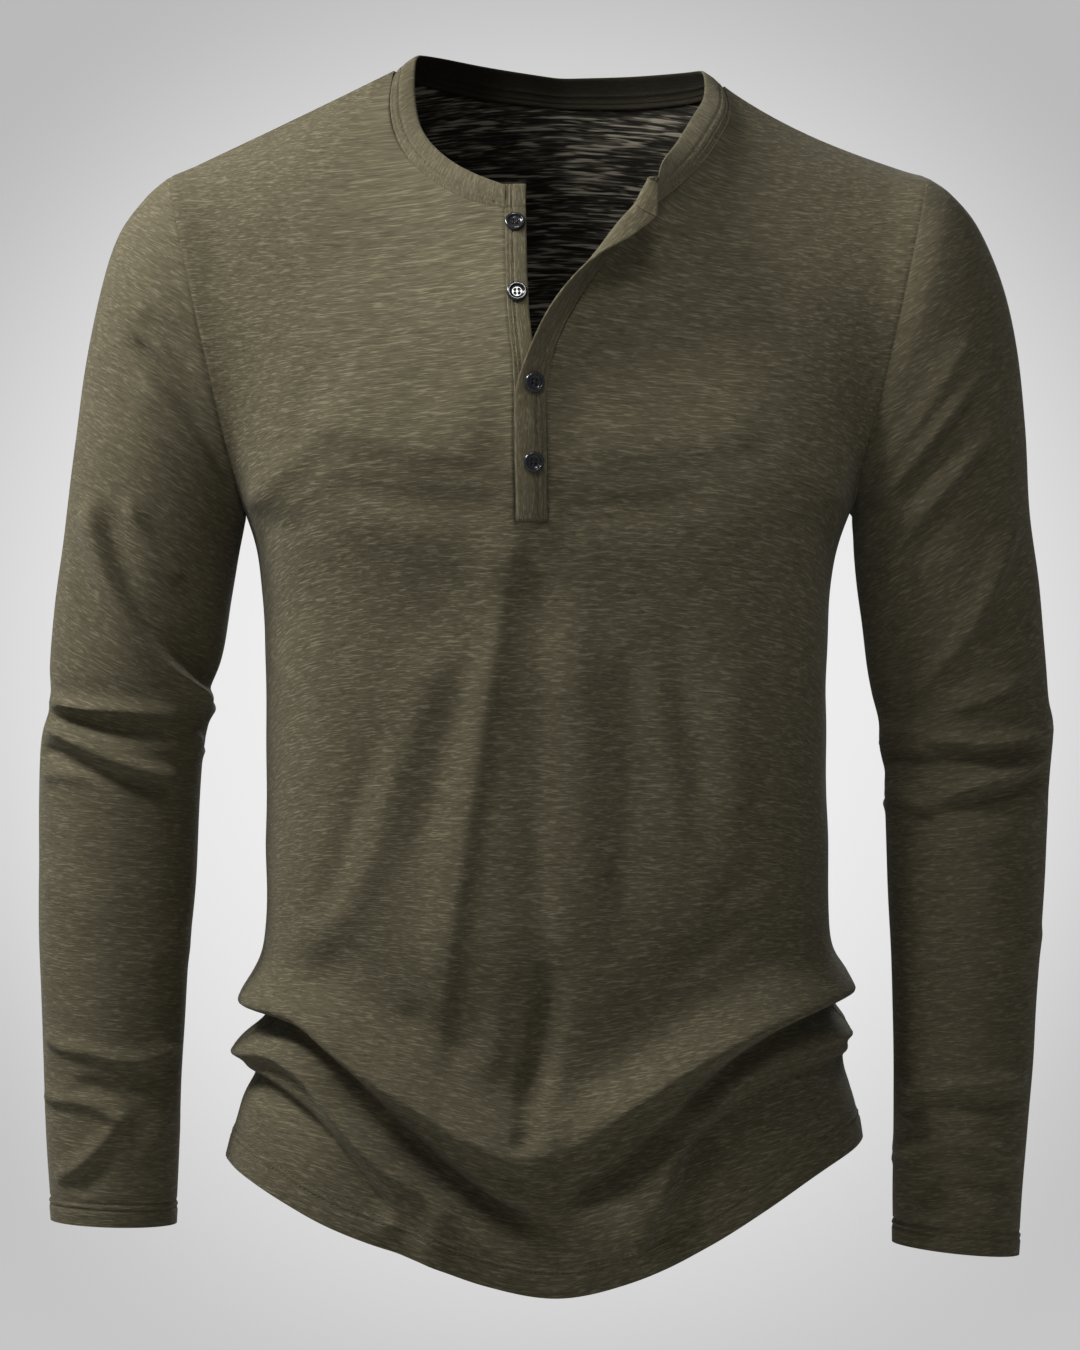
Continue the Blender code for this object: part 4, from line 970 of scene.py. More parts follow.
    def _plain_yoke(self, panel: Panel, side: Side, share: Array, rise: Array) -> Array:
        """Return the yoke as columns that leave the body upwards and roll over the shoulder.

        Args:
            panel: Front or back.
            side: The wearer's side.
            share: Columns, 0 at the middle and 1 at the side seam.
            rise: Rows, 0 at the underarm and 1 at the top.

        Returns:
            Points of the yoke.
        """
        z = self.base_level(share)
        theta = self.column_angle(panel, side, share, z)
        low = self.body(theta, z)[0]
        high = self.top_edge(panel, side, share)
        below, above = (self.body(theta, z + step)[0]
                        for step in (-self.slope_step, self.slope_step))
        span = np.linalg.norm(high - low, axis=-1)[..., None]
        leave = unit(above - below) * span
        corner = ramp(0.0, self.neck_share, share) * ramp(1.0, self.neck_share, share)
        arrive = self.top_direction(panel, side, share) * span
        arrive = arrive * (1 - self.corner_ease * corner[..., None])
        round_arm = np.array([0.0, self.arm_roll * self.armhole_half_depth * panel.value, 0.0])
        near_arm = ramp(self.neck_share, 1.0, share)[..., None]
        leave = leave + (round_arm - leave) * near_arm
        arrive = arrive + (-round_arm - arrive) * near_arm
        t = rise[..., None]
        return hermite(t, low, leave, high, arrive)

    def _yoke(self, panel: Panel, side: Side, share: Array, rise: float) -> Array:
        """Return one row of a half panel between underarm level (0) and its top (1).

        Args:
            panel: Front or back.
            side: The wearer's side.
            share: Columns, 0 at the middle and 1 at the side seam.
            rise: The row, 0 at the underarm and 1 at the top.

        Returns:
            The row's points.
        """
        share, level = np.broadcast_arrays(share, float(rise))
        phi = math.pi * (1 - level)
        loop = self.armhole(side, phi if panel is Panel.FRONT else -phi)
        ends = self._plain_yoke(panel, side, np.ones_like(level), level)
        point = self._plain_yoke(panel, side, share, level)
        point = point + (loop - ends) * ramp(self.arm_loop_from, 1.0, share)[..., None]
        if panel is Panel.FRONT:
            edge = self.placket_edge(side, level, "seam")
            start = self._plain_yoke(panel, side, np.zeros_like(level), level)
            keep = np.clip(1 - share / self.placket_reach[side], 0, 1) ** self.placket_fade
            point = point + (edge - start) * keep[..., None]
        return point

    def coarse_half(self, panel: Panel, side: Side, shares: Array) -> Array:
        """Return a half panel's form as a coarse grid, evened out above the underarm.

        Args:
            panel: Front or back.
            side: The wearer's side.
            shares: Columns, 0 at the middle and 1 at the side seam.

        Returns:
            A grid of points from the hem to the top.
        """
        rows = []
        theta = self.column_angle(panel, side, shares, self.hem_z)
        hem = self.hem_level(panel, theta)
        for step in np.linspace(0, 1, self.body_rows + 1):
            level = hem + (self.base_level(shares) - hem) * step**self.row_crowding
            rows.append(self.body(self.column_angle(panel, side, shares, level), level)[0])
        for step in np.linspace(0, 1, self.yoke_rows + 1)[1:]:
            rows.append(self._yoke(panel, side, shares, step))
        grid = np.array(rows)
        rise = np.arange(len(grid)) - self.body_rows
        pull = self.relax_pull * ramp(0, 5, rise)[1:-1, None, None]
        for _ in range(self.relax_passes):
            around = grid[:-2, 1:-1] + grid[2:, 1:-1] + grid[1:-1, :-2] + grid[1:-1, 2:]
            grid[1:-1, 1:-1] += (around / 4 - grid[1:-1, 1:-1]) * pull
        return grid

    def fine_yoke(self, panel: Panel, side: Side, shares: Array, rises: Array) -> Array:
        """Read a half panel's yoke at any columns and rows, exact along its four edges.

        Args:
            panel: Front or back.
            side: The wearer's side.
            shares: Columns, 0 at the middle and 1 at the side.
            rises: Rows, 0 at the underarm and 1 at the top.

        Returns:
            A grid of points.
        """
        neck = np.linspace(0, self.neck_share, self.neck_columns + 1)
        shoulder = np.linspace(self.neck_share, 1, self.shoulder_columns + 1)
        coarse_shares = np.concatenate([neck, shoulder[1:]])
        coarse = self.coarse_half(panel, side, coarse_shares)[self.body_rows - 2:]
        levels = (np.arange(len(coarse)) - 2.0) / self.yoke_rows
        flat = hermite_through(levels, coarse.reshape(len(coarse), -1), rises)
        turned = flat.reshape(len(rises), -1, 3).transpose(1, 0, 2)
        fine = hermite_through(coarse_shares, turned.reshape(len(coarse_shares), -1), shares)
        grid = fine.reshape(len(shares), len(rises), 3).transpose(1, 0, 2).copy()
        top = self.top_edge(panel, side, shares) - grid[-1]
        grid += top[None] * ramp(*self.top_fit, rises)[:, None, None]
        phi = np.pi * (1 - rises)
        loop = self.armhole(side, phi if panel is Panel.FRONT else -phi)
        grid += (loop - grid[:, -1])[:, None] * ramp(*self.side_fit, shares)[None, :, None]
        if panel is Panel.FRONT:
            edge = self.placket_edge(side, rises, "seam")
            grid += (edge - grid[:, 0])[:, None] * ramp(*self.middle_fit, shares)[None, :, None]
        return grid


# ---------------------------------------------------------------- meshes
def placed(name: str, data: Any) -> Object:
    """Put a mesh, a camera or a lamp into the scene.

    Args:
        name: The new object's name.
        data: What it holds.

    Returns:
        The new object.
    """
    item = bpy.data.objects.new(name, data)
    bpy.context.scene.collection.objects.link(item)
    return item


def dress(piece: Object, slot: str, *nodes: str) -> None:
    """Let a piece ride on the shirt's body and stand for the CAD nodes that it dresses.

    Args:
        piece: The finished piece.
        slot: Not used.
        nodes: CAD nodes that the piece stands for.
    """
    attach(piece, "root")
    if nodes:
        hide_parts(*nodes)
    LOG.info("%s: %d faces", piece.name, len(piece.data.polygons))


@dataclass
class Cloth:
    """One piece of cloth: a grid of points, its facing, its wall and its pattern."""

    name: str
    outer: Array
    facing: Array
    wall: float | Array
    pattern: Array
    closed: bool = False
    cut_away: Array | None = None
    sharp_angle: float = 55.0

    def _cells(self) -> Array:
        """Return the corners of every cell, wound so that it faces outwards.

        Returns:
            Four point numbers for each cell, in rows and columns.
        """
        rows, columns, _ = self.outer.shape
        index = np.arange(rows * columns).reshape(rows, columns)
        here, ahead = beside(index, self.closed)
        cells = np.stack([here[:-1], ahead[:-1], ahead[1:], here[1:]], -1)
        flat = self.outer.reshape(-1, 3)
        middle = cells[rows // 2, cells.shape[1] // 3]
        across = np.cross(flat[middle[2]] - flat[middle[0]], flat[middle[3]] - flat[middle[1]])
        if across @ self.facing.reshape(-1, 3)[middle[0]] < 0:
            cells = cells[..., ::-1]
        return cells

    def _corner_marks(self, cells: Array) -> Array:
        """Return the pattern coordinates at the corners of the cells.

        Args:
            cells: Corners of every cell.

        Returns:
            Two coordinates for each corner.
        """
        row_of = np.array([0, 0, 1, 1]) + np.arange(cells.shape[0])[:, None, None]
        column_of = np.array([0, 1, 1, 0]) + np.arange(cells.shape[1])[None, :, None]
        if cells[0, 0, 0] != 0:
            row_of, column_of = row_of[..., ::-1], column_of[..., ::-1]
        return self.pattern[np.broadcast_to(row_of, cells.shape),
                            np.broadcast_to(column_of, cells.shape)]

    def _rim(self, cells: Array, marks: Array) -> tuple[Array, Array]:
        """Return the narrow faces that close the shell along its open edges.

        Args:
            cells: Corners of the cells that are kept.
            marks: Their pattern coordinates.

        Returns:
            Corners and pattern coordinates of the narrow faces.
        """
        count = self.outer.shape[0] * self.outer.shape[1]
        starts, ends = cells.reshape(-1), np.roll(cells, -1, axis=1).reshape(-1)
        key = np.minimum(starts, ends) * count + np.maximum(starts, ends)
        _, where, times = np.unique(key, return_inverse=True, return_counts=True)
        open_edge = times[where] == 1
        start, end = starts[open_edge], ends[open_edge]
        mark_start = marks.reshape(-1, 2)[open_edge]
        mark_end = np.roll(marks, -1, axis=1).reshape(-1, 2)[open_edge]
        return (np.stack([end, start, start + count, end + count], -1),
                np.stack([mark_end, mark_start, mark_start, mark_end], 1))

    def build(self, outside: Material, inside: Material) -> Object:
        """Make the piece as a closed shell.

        Args:
            outside: Finish of the outer face and the edges.
            inside: Finish of the inner face.

        Returns:
            The new object, linked to the scene.
        """
        inner = self.outer - self.facing * np.asarray(self.wall, dtype=float)[..., None]
        count = self.outer.shape[0] * self.outer.shape[1]
        points = np.concatenate([self.outer.reshape(-1, 3), inner.reshape(-1, 3)]) * MM
        cells = self._cells()
        marks = self._corner_marks(cells)
        keep = np.ones(cells.shape[:2], bool) if self.cut_away is None else ~self.cut_away
        cells, marks = cells[keep], marks[keep]
        edges, edge_marks = self._rim(cells, marks)
        faces = np.concatenate([cells, cells[:, ::-1] + count, edges])
        uv = np.concatenate([marks, marks[:, ::-1], edge_marks])
        used = np.unique(faces)
        renumber = np.zeros(2 * count, dtype=int)
        renumber[used] = np.arange(len(used))
        mesh = bpy.data.meshes.new(self.name)
        mesh.from_pydata(points[used].tolist(), [], renumber[faces].tolist())
        layer = mesh.uv_layers.new(name="cloth")
        layer.data.foreach_set("uv", uv.reshape(-1).astype(np.float32))
        slots = np.zeros(len(faces), dtype=np.int32)
        slots[len(cells):2 * len(cells)] = 1
        mesh.polygons.foreach_set("material_index", slots)
        mesh.materials.append(outside)
        mesh.materials.append(inside)
        mesh.shade_smooth()
        mesh.set_sharp_from_angle(angle=math.radians(self.sharp_angle))
        return placed(self.name, mesh)

    def dressed(self, outside: Material, inside: Material,
                node: str) -> Object:
        """Make the piece, let it stand for its CAD node and report its area.

        Args:
            outside: Finish of the outer face and the edges.
            inside: Finish of the inner face.
            node: The CAD node.

        Returns:
            The piece.
        """
        piece = self.build(outside, inside)
        dress(piece, "jersey", node)
        LOG.info("%s area %.5f m2", piece.name, self.area())
        return piece

    def area(self) -> float:
        """Return the outer face's area in square metres.

        Returns:
            The area.
        """
        size = np.linalg.norm(crossed(self.outer, self.closed), axis=-1) / 2
        if self.cut_away is not None:
            size = size[~self.cut_away]
        return float(size.sum()) * MM**2

    def path(self, rows: Any, columns: Any, lift: float) -> Array:
        """Read a line on the cloth.

        Args:
            rows: Row of each point, fractions allowed.
            columns: Column of each point, fractions allowed.
            lift: How far the line lies above the cloth.

        Returns:
            The line's points.
        """
        rows, columns = np.broadcast_arrays(np.asarray(rows, float), np.asarray(columns, float))
        raised = self.outer + self.facing * lift
        r0 = np.clip(rows.astype(int), 0, self.outer.shape[0] - 2)
        c0 = np.clip(columns.astype(int), 0, self.outer.shape[1] - 2)
        s, t = (rows - r0)[..., None], (columns - c0)[..., None]
        low = raised[r0, c0] * (1 - t) + raised[r0, c0 + 1] * t
        high = raised[r0 + 1, c0] * (1 - t) + raised[r0 + 1, c0 + 1] * t
        return low * (1 - s) + high * s


# ---------------------------------------------------------------- finishes
@dataclass(frozen=True)
class Number:
    """A number socket of a node tree with arithmetic."""

    graph: "Graph"
    socket: NodeSocket

    def _with(self, operation: str, first: Any, second: Any) -> "Number":
        """Add one Math node."""
        return self.graph.number("ShaderNodeMath", {"operation": operation}, {0: first, 1: second})

    def __add__(self, other: Any) -> "Number":
        """Add."""
        return self._with("ADD", self, other)

    def __sub__(self, other: Any) -> "Number":
        """Subtract."""
        return self._with("SUBTRACT", self, other)

    def __rsub__(self, other: Any) -> "Number":
        """Subtract, reflected."""
        return self._with("SUBTRACT", other, self)

    def __mul__(self, other: Any) -> "Number":
        """Multiply."""
        return self._with("MULTIPLY", self, other)

    __radd__ = __add__
    __rmul__ = __mul__

    def sine(self) -> "Number":
        """Return the sine."""
        return self._with("SINE", self, 0.0)

    def step(self, low: float, high: float) -> "Number":
        """Return a soft ramp from 0 at low to 1 at high.

        Args:
            low: Where it starts.
            high: Where it ends.

        Returns:
            The ramp, 0 to 1.
        """
        return self.graph.number(
            "ShaderNodeMapRange", {"interpolation_type": "SMOOTHSTEP"},
            {"Value": self, "From Min": low, "From Max": high})


class Graph:
    """A material's or the world's node tree, and the ways that nodes are added to it."""

    def __init__(self, tree: NodeTree) -> None:
        """Start on an empty tree."""
        self.tree = tree
        tree.nodes.clear()

    def node(self, kind: str, settings: dict[str, Any], sockets: dict[Any, Any]) -> Node:
        """Add a node.

        Args:
            kind: The node's type.
            settings: Its settings, which are set first.
            sockets: Values or links of its inputs, by name or place.

        Returns:
            The new node.
        """
        node = self.tree.nodes.new(kind)
        for key, value in settings.items():
            setattr(node, key, value)
        for key, value in sockets.items():
            socket = node.inputs[key]
            source = value.socket if isinstance(value, Number) else value
            if isinstance(source, NodeSocket):
                self.tree.links.new(source, socket)
            else:
                socket.default_value = source
        return node

    def number(self, kind: str, settings: dict[str, Any], sockets: dict[Any, Any]) -> Number:
        """Add a node and return its first output as a number."""
        return Number(self, self.node(kind, settings, sockets).outputs[0])

    def noise(self, x: Any, y: Any, z: Any, detail: float = 2.0) -> Number:
        """Return noise, from 0 to 1, at a place given in periods of the noise.

        Args:
            x: Place along the first axis.
            y: Place along the second axis.
            z: Place along the third axis.
            detail: How many finer layers are added.

        Returns:
            The noise.
        """
        place = self.node("ShaderNodeCombineXYZ", {}, {0: x, 1: y, 2: z})
        return self.number("ShaderNodeTexNoise", {"noise_dimensions": "3D"},
                           {"Vector": place.outputs[0], "Scale": 1.0, "Detail": detail,
                            "Roughness": 0.55})

    def blend(self, share: Number, low: Sequence[float], high: Sequence[float]) -> Any:
        """Return a colour between two colours.

        Args:
            share: 0 for the first colour, 1 for the second.
            low: The first colour.
            high: The second colour.

        Returns:
            The colour's socket.
        """
        low_socket, high_socket, colour_output = 6, 7, 2
        node = self.node("ShaderNodeMix", {"data_type": "RGBA"},
                         {"Factor": share, low_socket: (*low, 1.0), high_socket: (*high, 1.0)})
        return node.outputs[colour_output]

    def speckle(self, scale: float, detail: float) -> Number:
        """Return noise, from 0 to 1, that is fixed to the piece.

        Args:
            scale: Periods of the noise in a metre.
            detail: How many finer layers are added.

        Returns:
            The noise.
        """
        place = self.node("ShaderNodeTexCoord", {}, {})
        return self.number("ShaderNodeTexNoise", {}, {
            "Vector": place.outputs["Object"], "Scale": scale, "Detail": detail})

    def surface(self, shader: Node) -> None:
        """Make a shader the material's surface."""
        self.node("ShaderNodeOutputMaterial", {}, {0: shader.outputs[0]})


def new_material(name: str) -> tuple[Material, Graph]:
    """Return an empty material and its graph.

    Args:
        name: The material's name.

    Returns:
        The material and its graph.
    """
    material = bpy.data.materials.new(name)
    material.use_nodes = True
    return material, Graph(material.node_tree)


class YarnLayer(NamedTuple):
    """One layer of uneven yarn: its periods in a metre along and across the courses."""

    along: float
    across: float
    seed: float
    detail: float


YARN = YarnLayer(150.0, 1500.0, 0.0, 2.0)
SLUB = YarnLayer(120.0, 780.0, 7.7, 1.0)
FLECK = YarnLayer(210.0, 1050.0, 13.3, 1.0)
LONG_STREAK = YarnLayer(40.0, 420.0, 17.0, 1.0)


@dataclass(frozen=True)
class SlubJersey:
    """Jersey of thick and thin yarn: short light and dark streaks in rows, a dry matt face."""

    name: str
    dark: Colour
    light: Colour
    contrast: float = 1.0
    coarseness: float = 1.0
    length: float = 1.0
    base: float = 0.40
    streaks: float = 0.42
    turned: bool = False
    seed: float = 0.0
    sheen: float = 0.12
    solid: bool = False
    yarn_tone: float = 0.85
    fleck_tone: float = 0.30
    thin_tone: float = 0.14
    long_tone: float = 0.34
    cloud_tone: float = 0.16
    wale_width: float = 0.00085
    course_height: float = 0.0011
    bump_depth: float = 0.0004

    def material(self) -> Material:
        """Make the material on the piece's own pattern coordinates, in metres.

        Returns:
            The material.
        """
        material, g = new_material(self.name)
        marks = g.node("ShaderNodeUVMap", {"uv_map": "cloth"}, {})
        parts = g.node("ShaderNodeSeparateXYZ", {}, {0: marks.outputs[0]})
        u, v = Number(g, parts.outputs[0]), Number(g, parts.outputs[1])
        if self.turned:
            u, v = v, u
        u = u * (1.0 / self.length)
        deep = self._deep(g) if self.solid else 0.0
        drift = g.noise(u * 16.0, v * 24.0, self.seed + 3.1, 1.0) * 0.0022
        yarn, slub, fleck, long = (self._layer(g, layer, u, v + drift, deep)
                                   for layer in (YARN, SLUB, FLECK, LONG_STREAK))
        cloud = g.noise(u * 9.0, v * 14.0, self.seed + 21.0, 2.0)
        thick = slub.step(0.55, 0.72)
        thin = slub.step(0.42, 0.26)
        short = fleck.step(0.56, 0.72)
        shade = ((yarn - 0.5) * (self.yarn_tone * self.contrast)
                 + short * (self.fleck_tone * self.contrast)
                 + thick * (self.streaks * self.contrast)
                 - thin * (self.thin_tone * self.contrast)
                 + (long - 0.5) * (self.long_tone * self.contrast)
                 + (cloud - 0.5) * self.cloud_tone + self.base)
        colour = g.blend(shade.step(-0.05, 1.05), self.dark, self.light)
        wale = ((u * (self.length * 2 * math.pi / self.wale_width)).sine()
                * (v * (2 * math.pi / self.course_height)).sine())
        height = yarn * 0.5 + thick * 0.6 + short * 0.4 + wale * 0.12
        bump = g.node("ShaderNodeBump", {}, {"Strength": 0.5, "Distance": self.bump_depth,
                                             "Height": height})
        shader = g.node("ShaderNodeBsdfPrincipled", {}, {
            "Base Color": colour, "Roughness": 0.93 - thick * 0.08, "Metallic": 0.0,
            "Specular IOR Level": 0.22, "Sheen Weight": self.sheen, "Sheen Roughness": 0.45,
            "Sheen Tint": (0.9, 0.87, 0.76, 1.0), "Normal": bump.outputs[0]})
        g.surface(shader)
        return material

    def _layer(self, g: Graph, layer: YarnLayer, u: Number, v: Number, deep: Any) -> Number:
        """Return one layer of the yarn's unevenness.

        Args:
            g: The material's graph.
            layer: The layer's periods and seed.
            u: Place along the courses.
            v: Place across them.
            deep: Place from front to back, 0 on a flat piece.

        Returns:
            The layer, from 0 to 1.
        """
        return g.noise(u * (layer.along / self.coarseness), v * (layer.across / self.coarseness),
                       deep * layer.along + (self.seed + layer.seed), layer.detail)

    def _deep(self, g: Graph) -> Number:
        """Return the depth from front to back, the courses' second way on a sleeve.

        Args:
            g: The material's graph.

        Returns:
            The depth, in metres.
        """
        place = g.node("ShaderNodeTexCoord", {}, {})
        parts = g.node("ShaderNodeSeparateXYZ", {}, {0: place.outputs["Object"]})
        return Number(g, parts.outputs[1])


@dataclass(frozen=True)
class Thread:
    """Twisted sewing thread."""

    name: str
    colour: Colour
    unevenness: float = 0.25
    tones_per_metre: float = 420.0

    def material(self) -> Material:
        """Make the material, with a soft change of tone from stitch to stitch.

        Returns:
            The material.
        """
        material, g = new_material(self.name)
        tone = g.speckle(self.tones_per_metre, 1.0)
        low, high = (tuple(share * c for c in self.colour)
                     for share in (1 - self.unevenness, 1 + self.unevenness))
        shader = g.node("ShaderNodeBsdfPrincipled", {}, {
            "Base Color": g.blend(tone, low, high), "Roughness": 0.62, "Metallic": 0.0,
            "Specular IOR Level": 0.35})
        g.surface(shader)
        return material


@dataclass(frozen=True)
class ButtonResin:
    """Near-black polished resin with fine scuffs."""

    name: str
    colour: Colour = (0.010, 0.011, 0.014)
    scuff_lightness: float = 1.9
    scuffs_per_metre: float = 900.0

    def material(self) -> Material:
        """Make the material.

        Returns:
            The material.
        """
        material, g = new_material(self.name)
        scuff = g.speckle(self.scuffs_per_metre, 2.0)
        high = tuple(self.scuff_lightness * c for c in self.colour)
        shader = g.node("ShaderNodeBsdfPrincipled", {}, {
            "Base Color": g.blend(scuff.step(0.4, 0.8), self.colour, high),
            "Roughness": scuff * 0.16 + 0.10, "Metallic": 0.0, "Specular IOR Level": 0.6,
            "Coat Weight": 0.5, "Coat Roughness": 0.06})
        g.surface(shader)
        return material


@dataclass(frozen=True)
class FloorPaint:
    """Pale matt studio floor, which looks lit by the studio's far walls."""

    name: str = "studio_floor"
    colour: Colour = (0.72, 0.72, 0.71)
    far_light: Colour = (0.60, 0.60, 0.60)
    far_share: float = 0.62
    worn_shade: float = 0.96
    patches_per_metre: float = 1.4

    def material(self) -> Material:
        """Make the material.

        Returns:
            The material.
        """
        material, g = new_material(self.name)
        tone = g.speckle(self.patches_per_metre, 3.0)
        low = tuple(self.worn_shade * c for c in self.colour)
        shader = g.node("ShaderNodeBsdfPrincipled", {}, {
            "Base Color": g.blend(tone, low, self.colour), "Roughness": 0.85})
        glow = g.node("ShaderNodeEmission", {}, {0: (*self.far_light, 1.0), 1: 1.0})
        ray = g.node("ShaderNodeLightPath", {}, {})
        share = Number(g, ray.outputs["Is Camera Ray"]) * self.far_share
        both = g.node("ShaderNodeMixShader", {}, {0: share, 1: shader.outputs[0],
                                                  2: glow.outputs[0]})
        g.surface(both)
        return material


@dataclass
class Wardrobe:
    """The finishes, made once."""

    jersey: Material
    sleeve: Material
    reverse: Material
    rib: Material
    tape: Material
    thread: Material
    dark_thread: Material
    resin: Material

    @classmethod
    def stocked(cls) -> "Wardrobe":
        """Make every finish.

        Returns:
            The finishes.
        """
        dark, light = (0.052, 0.045, 0.025), (0.195, 0.172, 0.110)
        return cls(
            jersey=SlubJersey("slub_jersey", dark, light, contrast=0.92).material(),
            sleeve=SlubJersey("slub_jersey_sleeve", dark, light, contrast=0.74, seed=110.0,
                              solid=True).material(),
            # the inside face: light yarn streaks on a near-black ground; the dark ground is
            # painted shade of the shirt's inside
            reverse=SlubJersey("slub_jersey_inside_yarn_and_shade", (0.005, 0.004, 0.002),
                               (0.250, 0.226, 0.178), contrast=1.5, coarseness=1.6, length=1.9,
                               base=0.11, streaks=0.55, seed=40.0).material(),
            rib=SlubJersey("band_jersey", dark, light, contrast=0.8, coarseness=0.7,
                           turned=True, seed=60.0).material(),
            # the band's inner face is near-black: painted shade, for the inside of the band that
            # lies in shadow
            tape=SlubJersey("neck_tape", (0.010, 0.008, 0.004), (0.026, 0.022, 0.013),
                            contrast=0.5, coarseness=0.7, seed=80.0, sheen=0.02).material(),
            thread=Thread("olive_thread", (0.120, 0.106, 0.066)).material(),
            dark_thread=Thread("dark_thread", (0.020, 0.018, 0.014)).material(),
            resin=ButtonResin("button_resin").material(),
        )


# ---------------------------------------------------------------- stitches
@dataclass
class StitchRow:
    """Rows of sewn stitches laid along lines of the cloth."""

    name: str
    pitch: float = 3.1
    length: float = 2.4
    radius: float = 0.34
    seed: int = 4
    bead_sides: int = 6
    bead_rings: int = 4
    shortest: float = 0.86
    longest: float = 1.08
    lines: list[Array] = field(default_factory=list)

    def _tree(self, thread: Material) -> NodeTree:
        """Build the tree that lays stitches along edges.

        Args:
            thread: The stitches' finish.

        Returns:
            The node tree with its named sizes.
        """
        tree = bpy.data.node_groups.new(self.name + "_tree", "GeometryNodeTree")
        sizes = {"Pitch": self.pitch * MM, "Length": self.length * MM, "Radius": self.radius * MM}
        tree.interface.new_socket("Geometry", in_out="INPUT", socket_type="NodeSocketGeometry")
        for label, value in sizes.items():
            socket = tree.interface.new_socket(label, in_out="INPUT",
                                               socket_type="NodeSocketFloat")
            socket.default_value = value
        tree.interface.new_socket("Geometry", in_out="OUTPUT", socket_type="NodeSocketGeometry")
        g = Graph(tree)
        given = g.node("NodeGroupInput", {}, {}).outputs
        line = g.node("GeometryNodeMeshToCurve", {}, {0: given["Geometry"]})
        spaced = g.node("GeometryNodeResampleCurve", {}, {"Curve": line.outputs[0]})
        if "Mode" in spaced.inputs and spaced.inputs["Mode"].type == "MENU":
            spaced.inputs["Mode"].default_value = "Length"
        else:
            spaced.mode = "LENGTH"
        tree.links.new(given["Pitch"], spaced.inputs["Length"])
        bead = g.node("GeometryNodeMeshUVSphere", {}, {
            "Segments": self.bead_sides, "Rings": self.bead_rings, "Radius": 1.0})
        tangent = g.node("GeometryNodeInputTangent", {}, {})
        turn = g.node("FunctionNodeAlignRotationToVector", {"axis": "Z"},
                      {"Vector": tangent.outputs[0]})
        vary = g.node("FunctionNodeRandomValue", {"data_type": "FLOAT"},
                      {"Min": self.shortest, "Max": self.longest, "Seed": self.seed})
        vary_out = next(s for s in vary.outputs if s.enabled)
        long = Number(g, given["Length"]) * 0.5 * Number(g, vary_out)
        size = g.node("ShaderNodeCombineXYZ", {},
                      {0: given["Radius"], 1: given["Radius"], 2: long})
        laid = g.node("GeometryNodeInstanceOnPoints", {}, {
            "Points": spaced.outputs[0], "Instance": bead.outputs[0],
            "Rotation": turn.outputs[0], "Scale": size.outputs[0]})
        real = g.node("GeometryNodeRealizeInstances", {}, {0: laid.outputs[0]})
        done = g.node("GeometryNodeSetMaterial", {}, {0: real.outputs[0], "Material": thread})
        g.node("NodeGroupOutput", {}, {0: done.outputs[0]})
        return tree

    def make(self, thread: Material) -> Object:
        """Lay the stitches and return them as one plain mesh.

        Args:
            thread: The stitches' finish.

        Returns:
            The stitches.
        """
        points, edges = [], []
        for line in self.lines:
            first = len(points)
            points.extend((line * MM).tolist())
            edges.extend((first + k, first + k + 1) for k in range(len(line) - 1))
        guide = bpy.data.meshes.new(self.name + "_lines")
        guide.from_pydata(points, edges, [])
        holder = placed(self.name + "_lines", guide)
        tree = self._tree(thread)
        modifier = holder.modifiers.new("stitches", "NODES")
        modifier.node_group = tree
        for item in tree.interface.items_tree:
            if item.in_out == "INPUT" and item.socket_type == "NodeSocketFloat":
                modifier[item.identifier] = item.default_value
        bpy.context.view_layer.update()
        ready = holder.evaluated_get(bpy.context.evaluated_depsgraph_get())
        mesh = bpy.data.meshes.new_from_object(ready)
        mesh.name = self.name
        mesh.shade_smooth()
        bpy.data.objects.remove(holder, do_unlink=True)
        return placed(self.name, mesh)


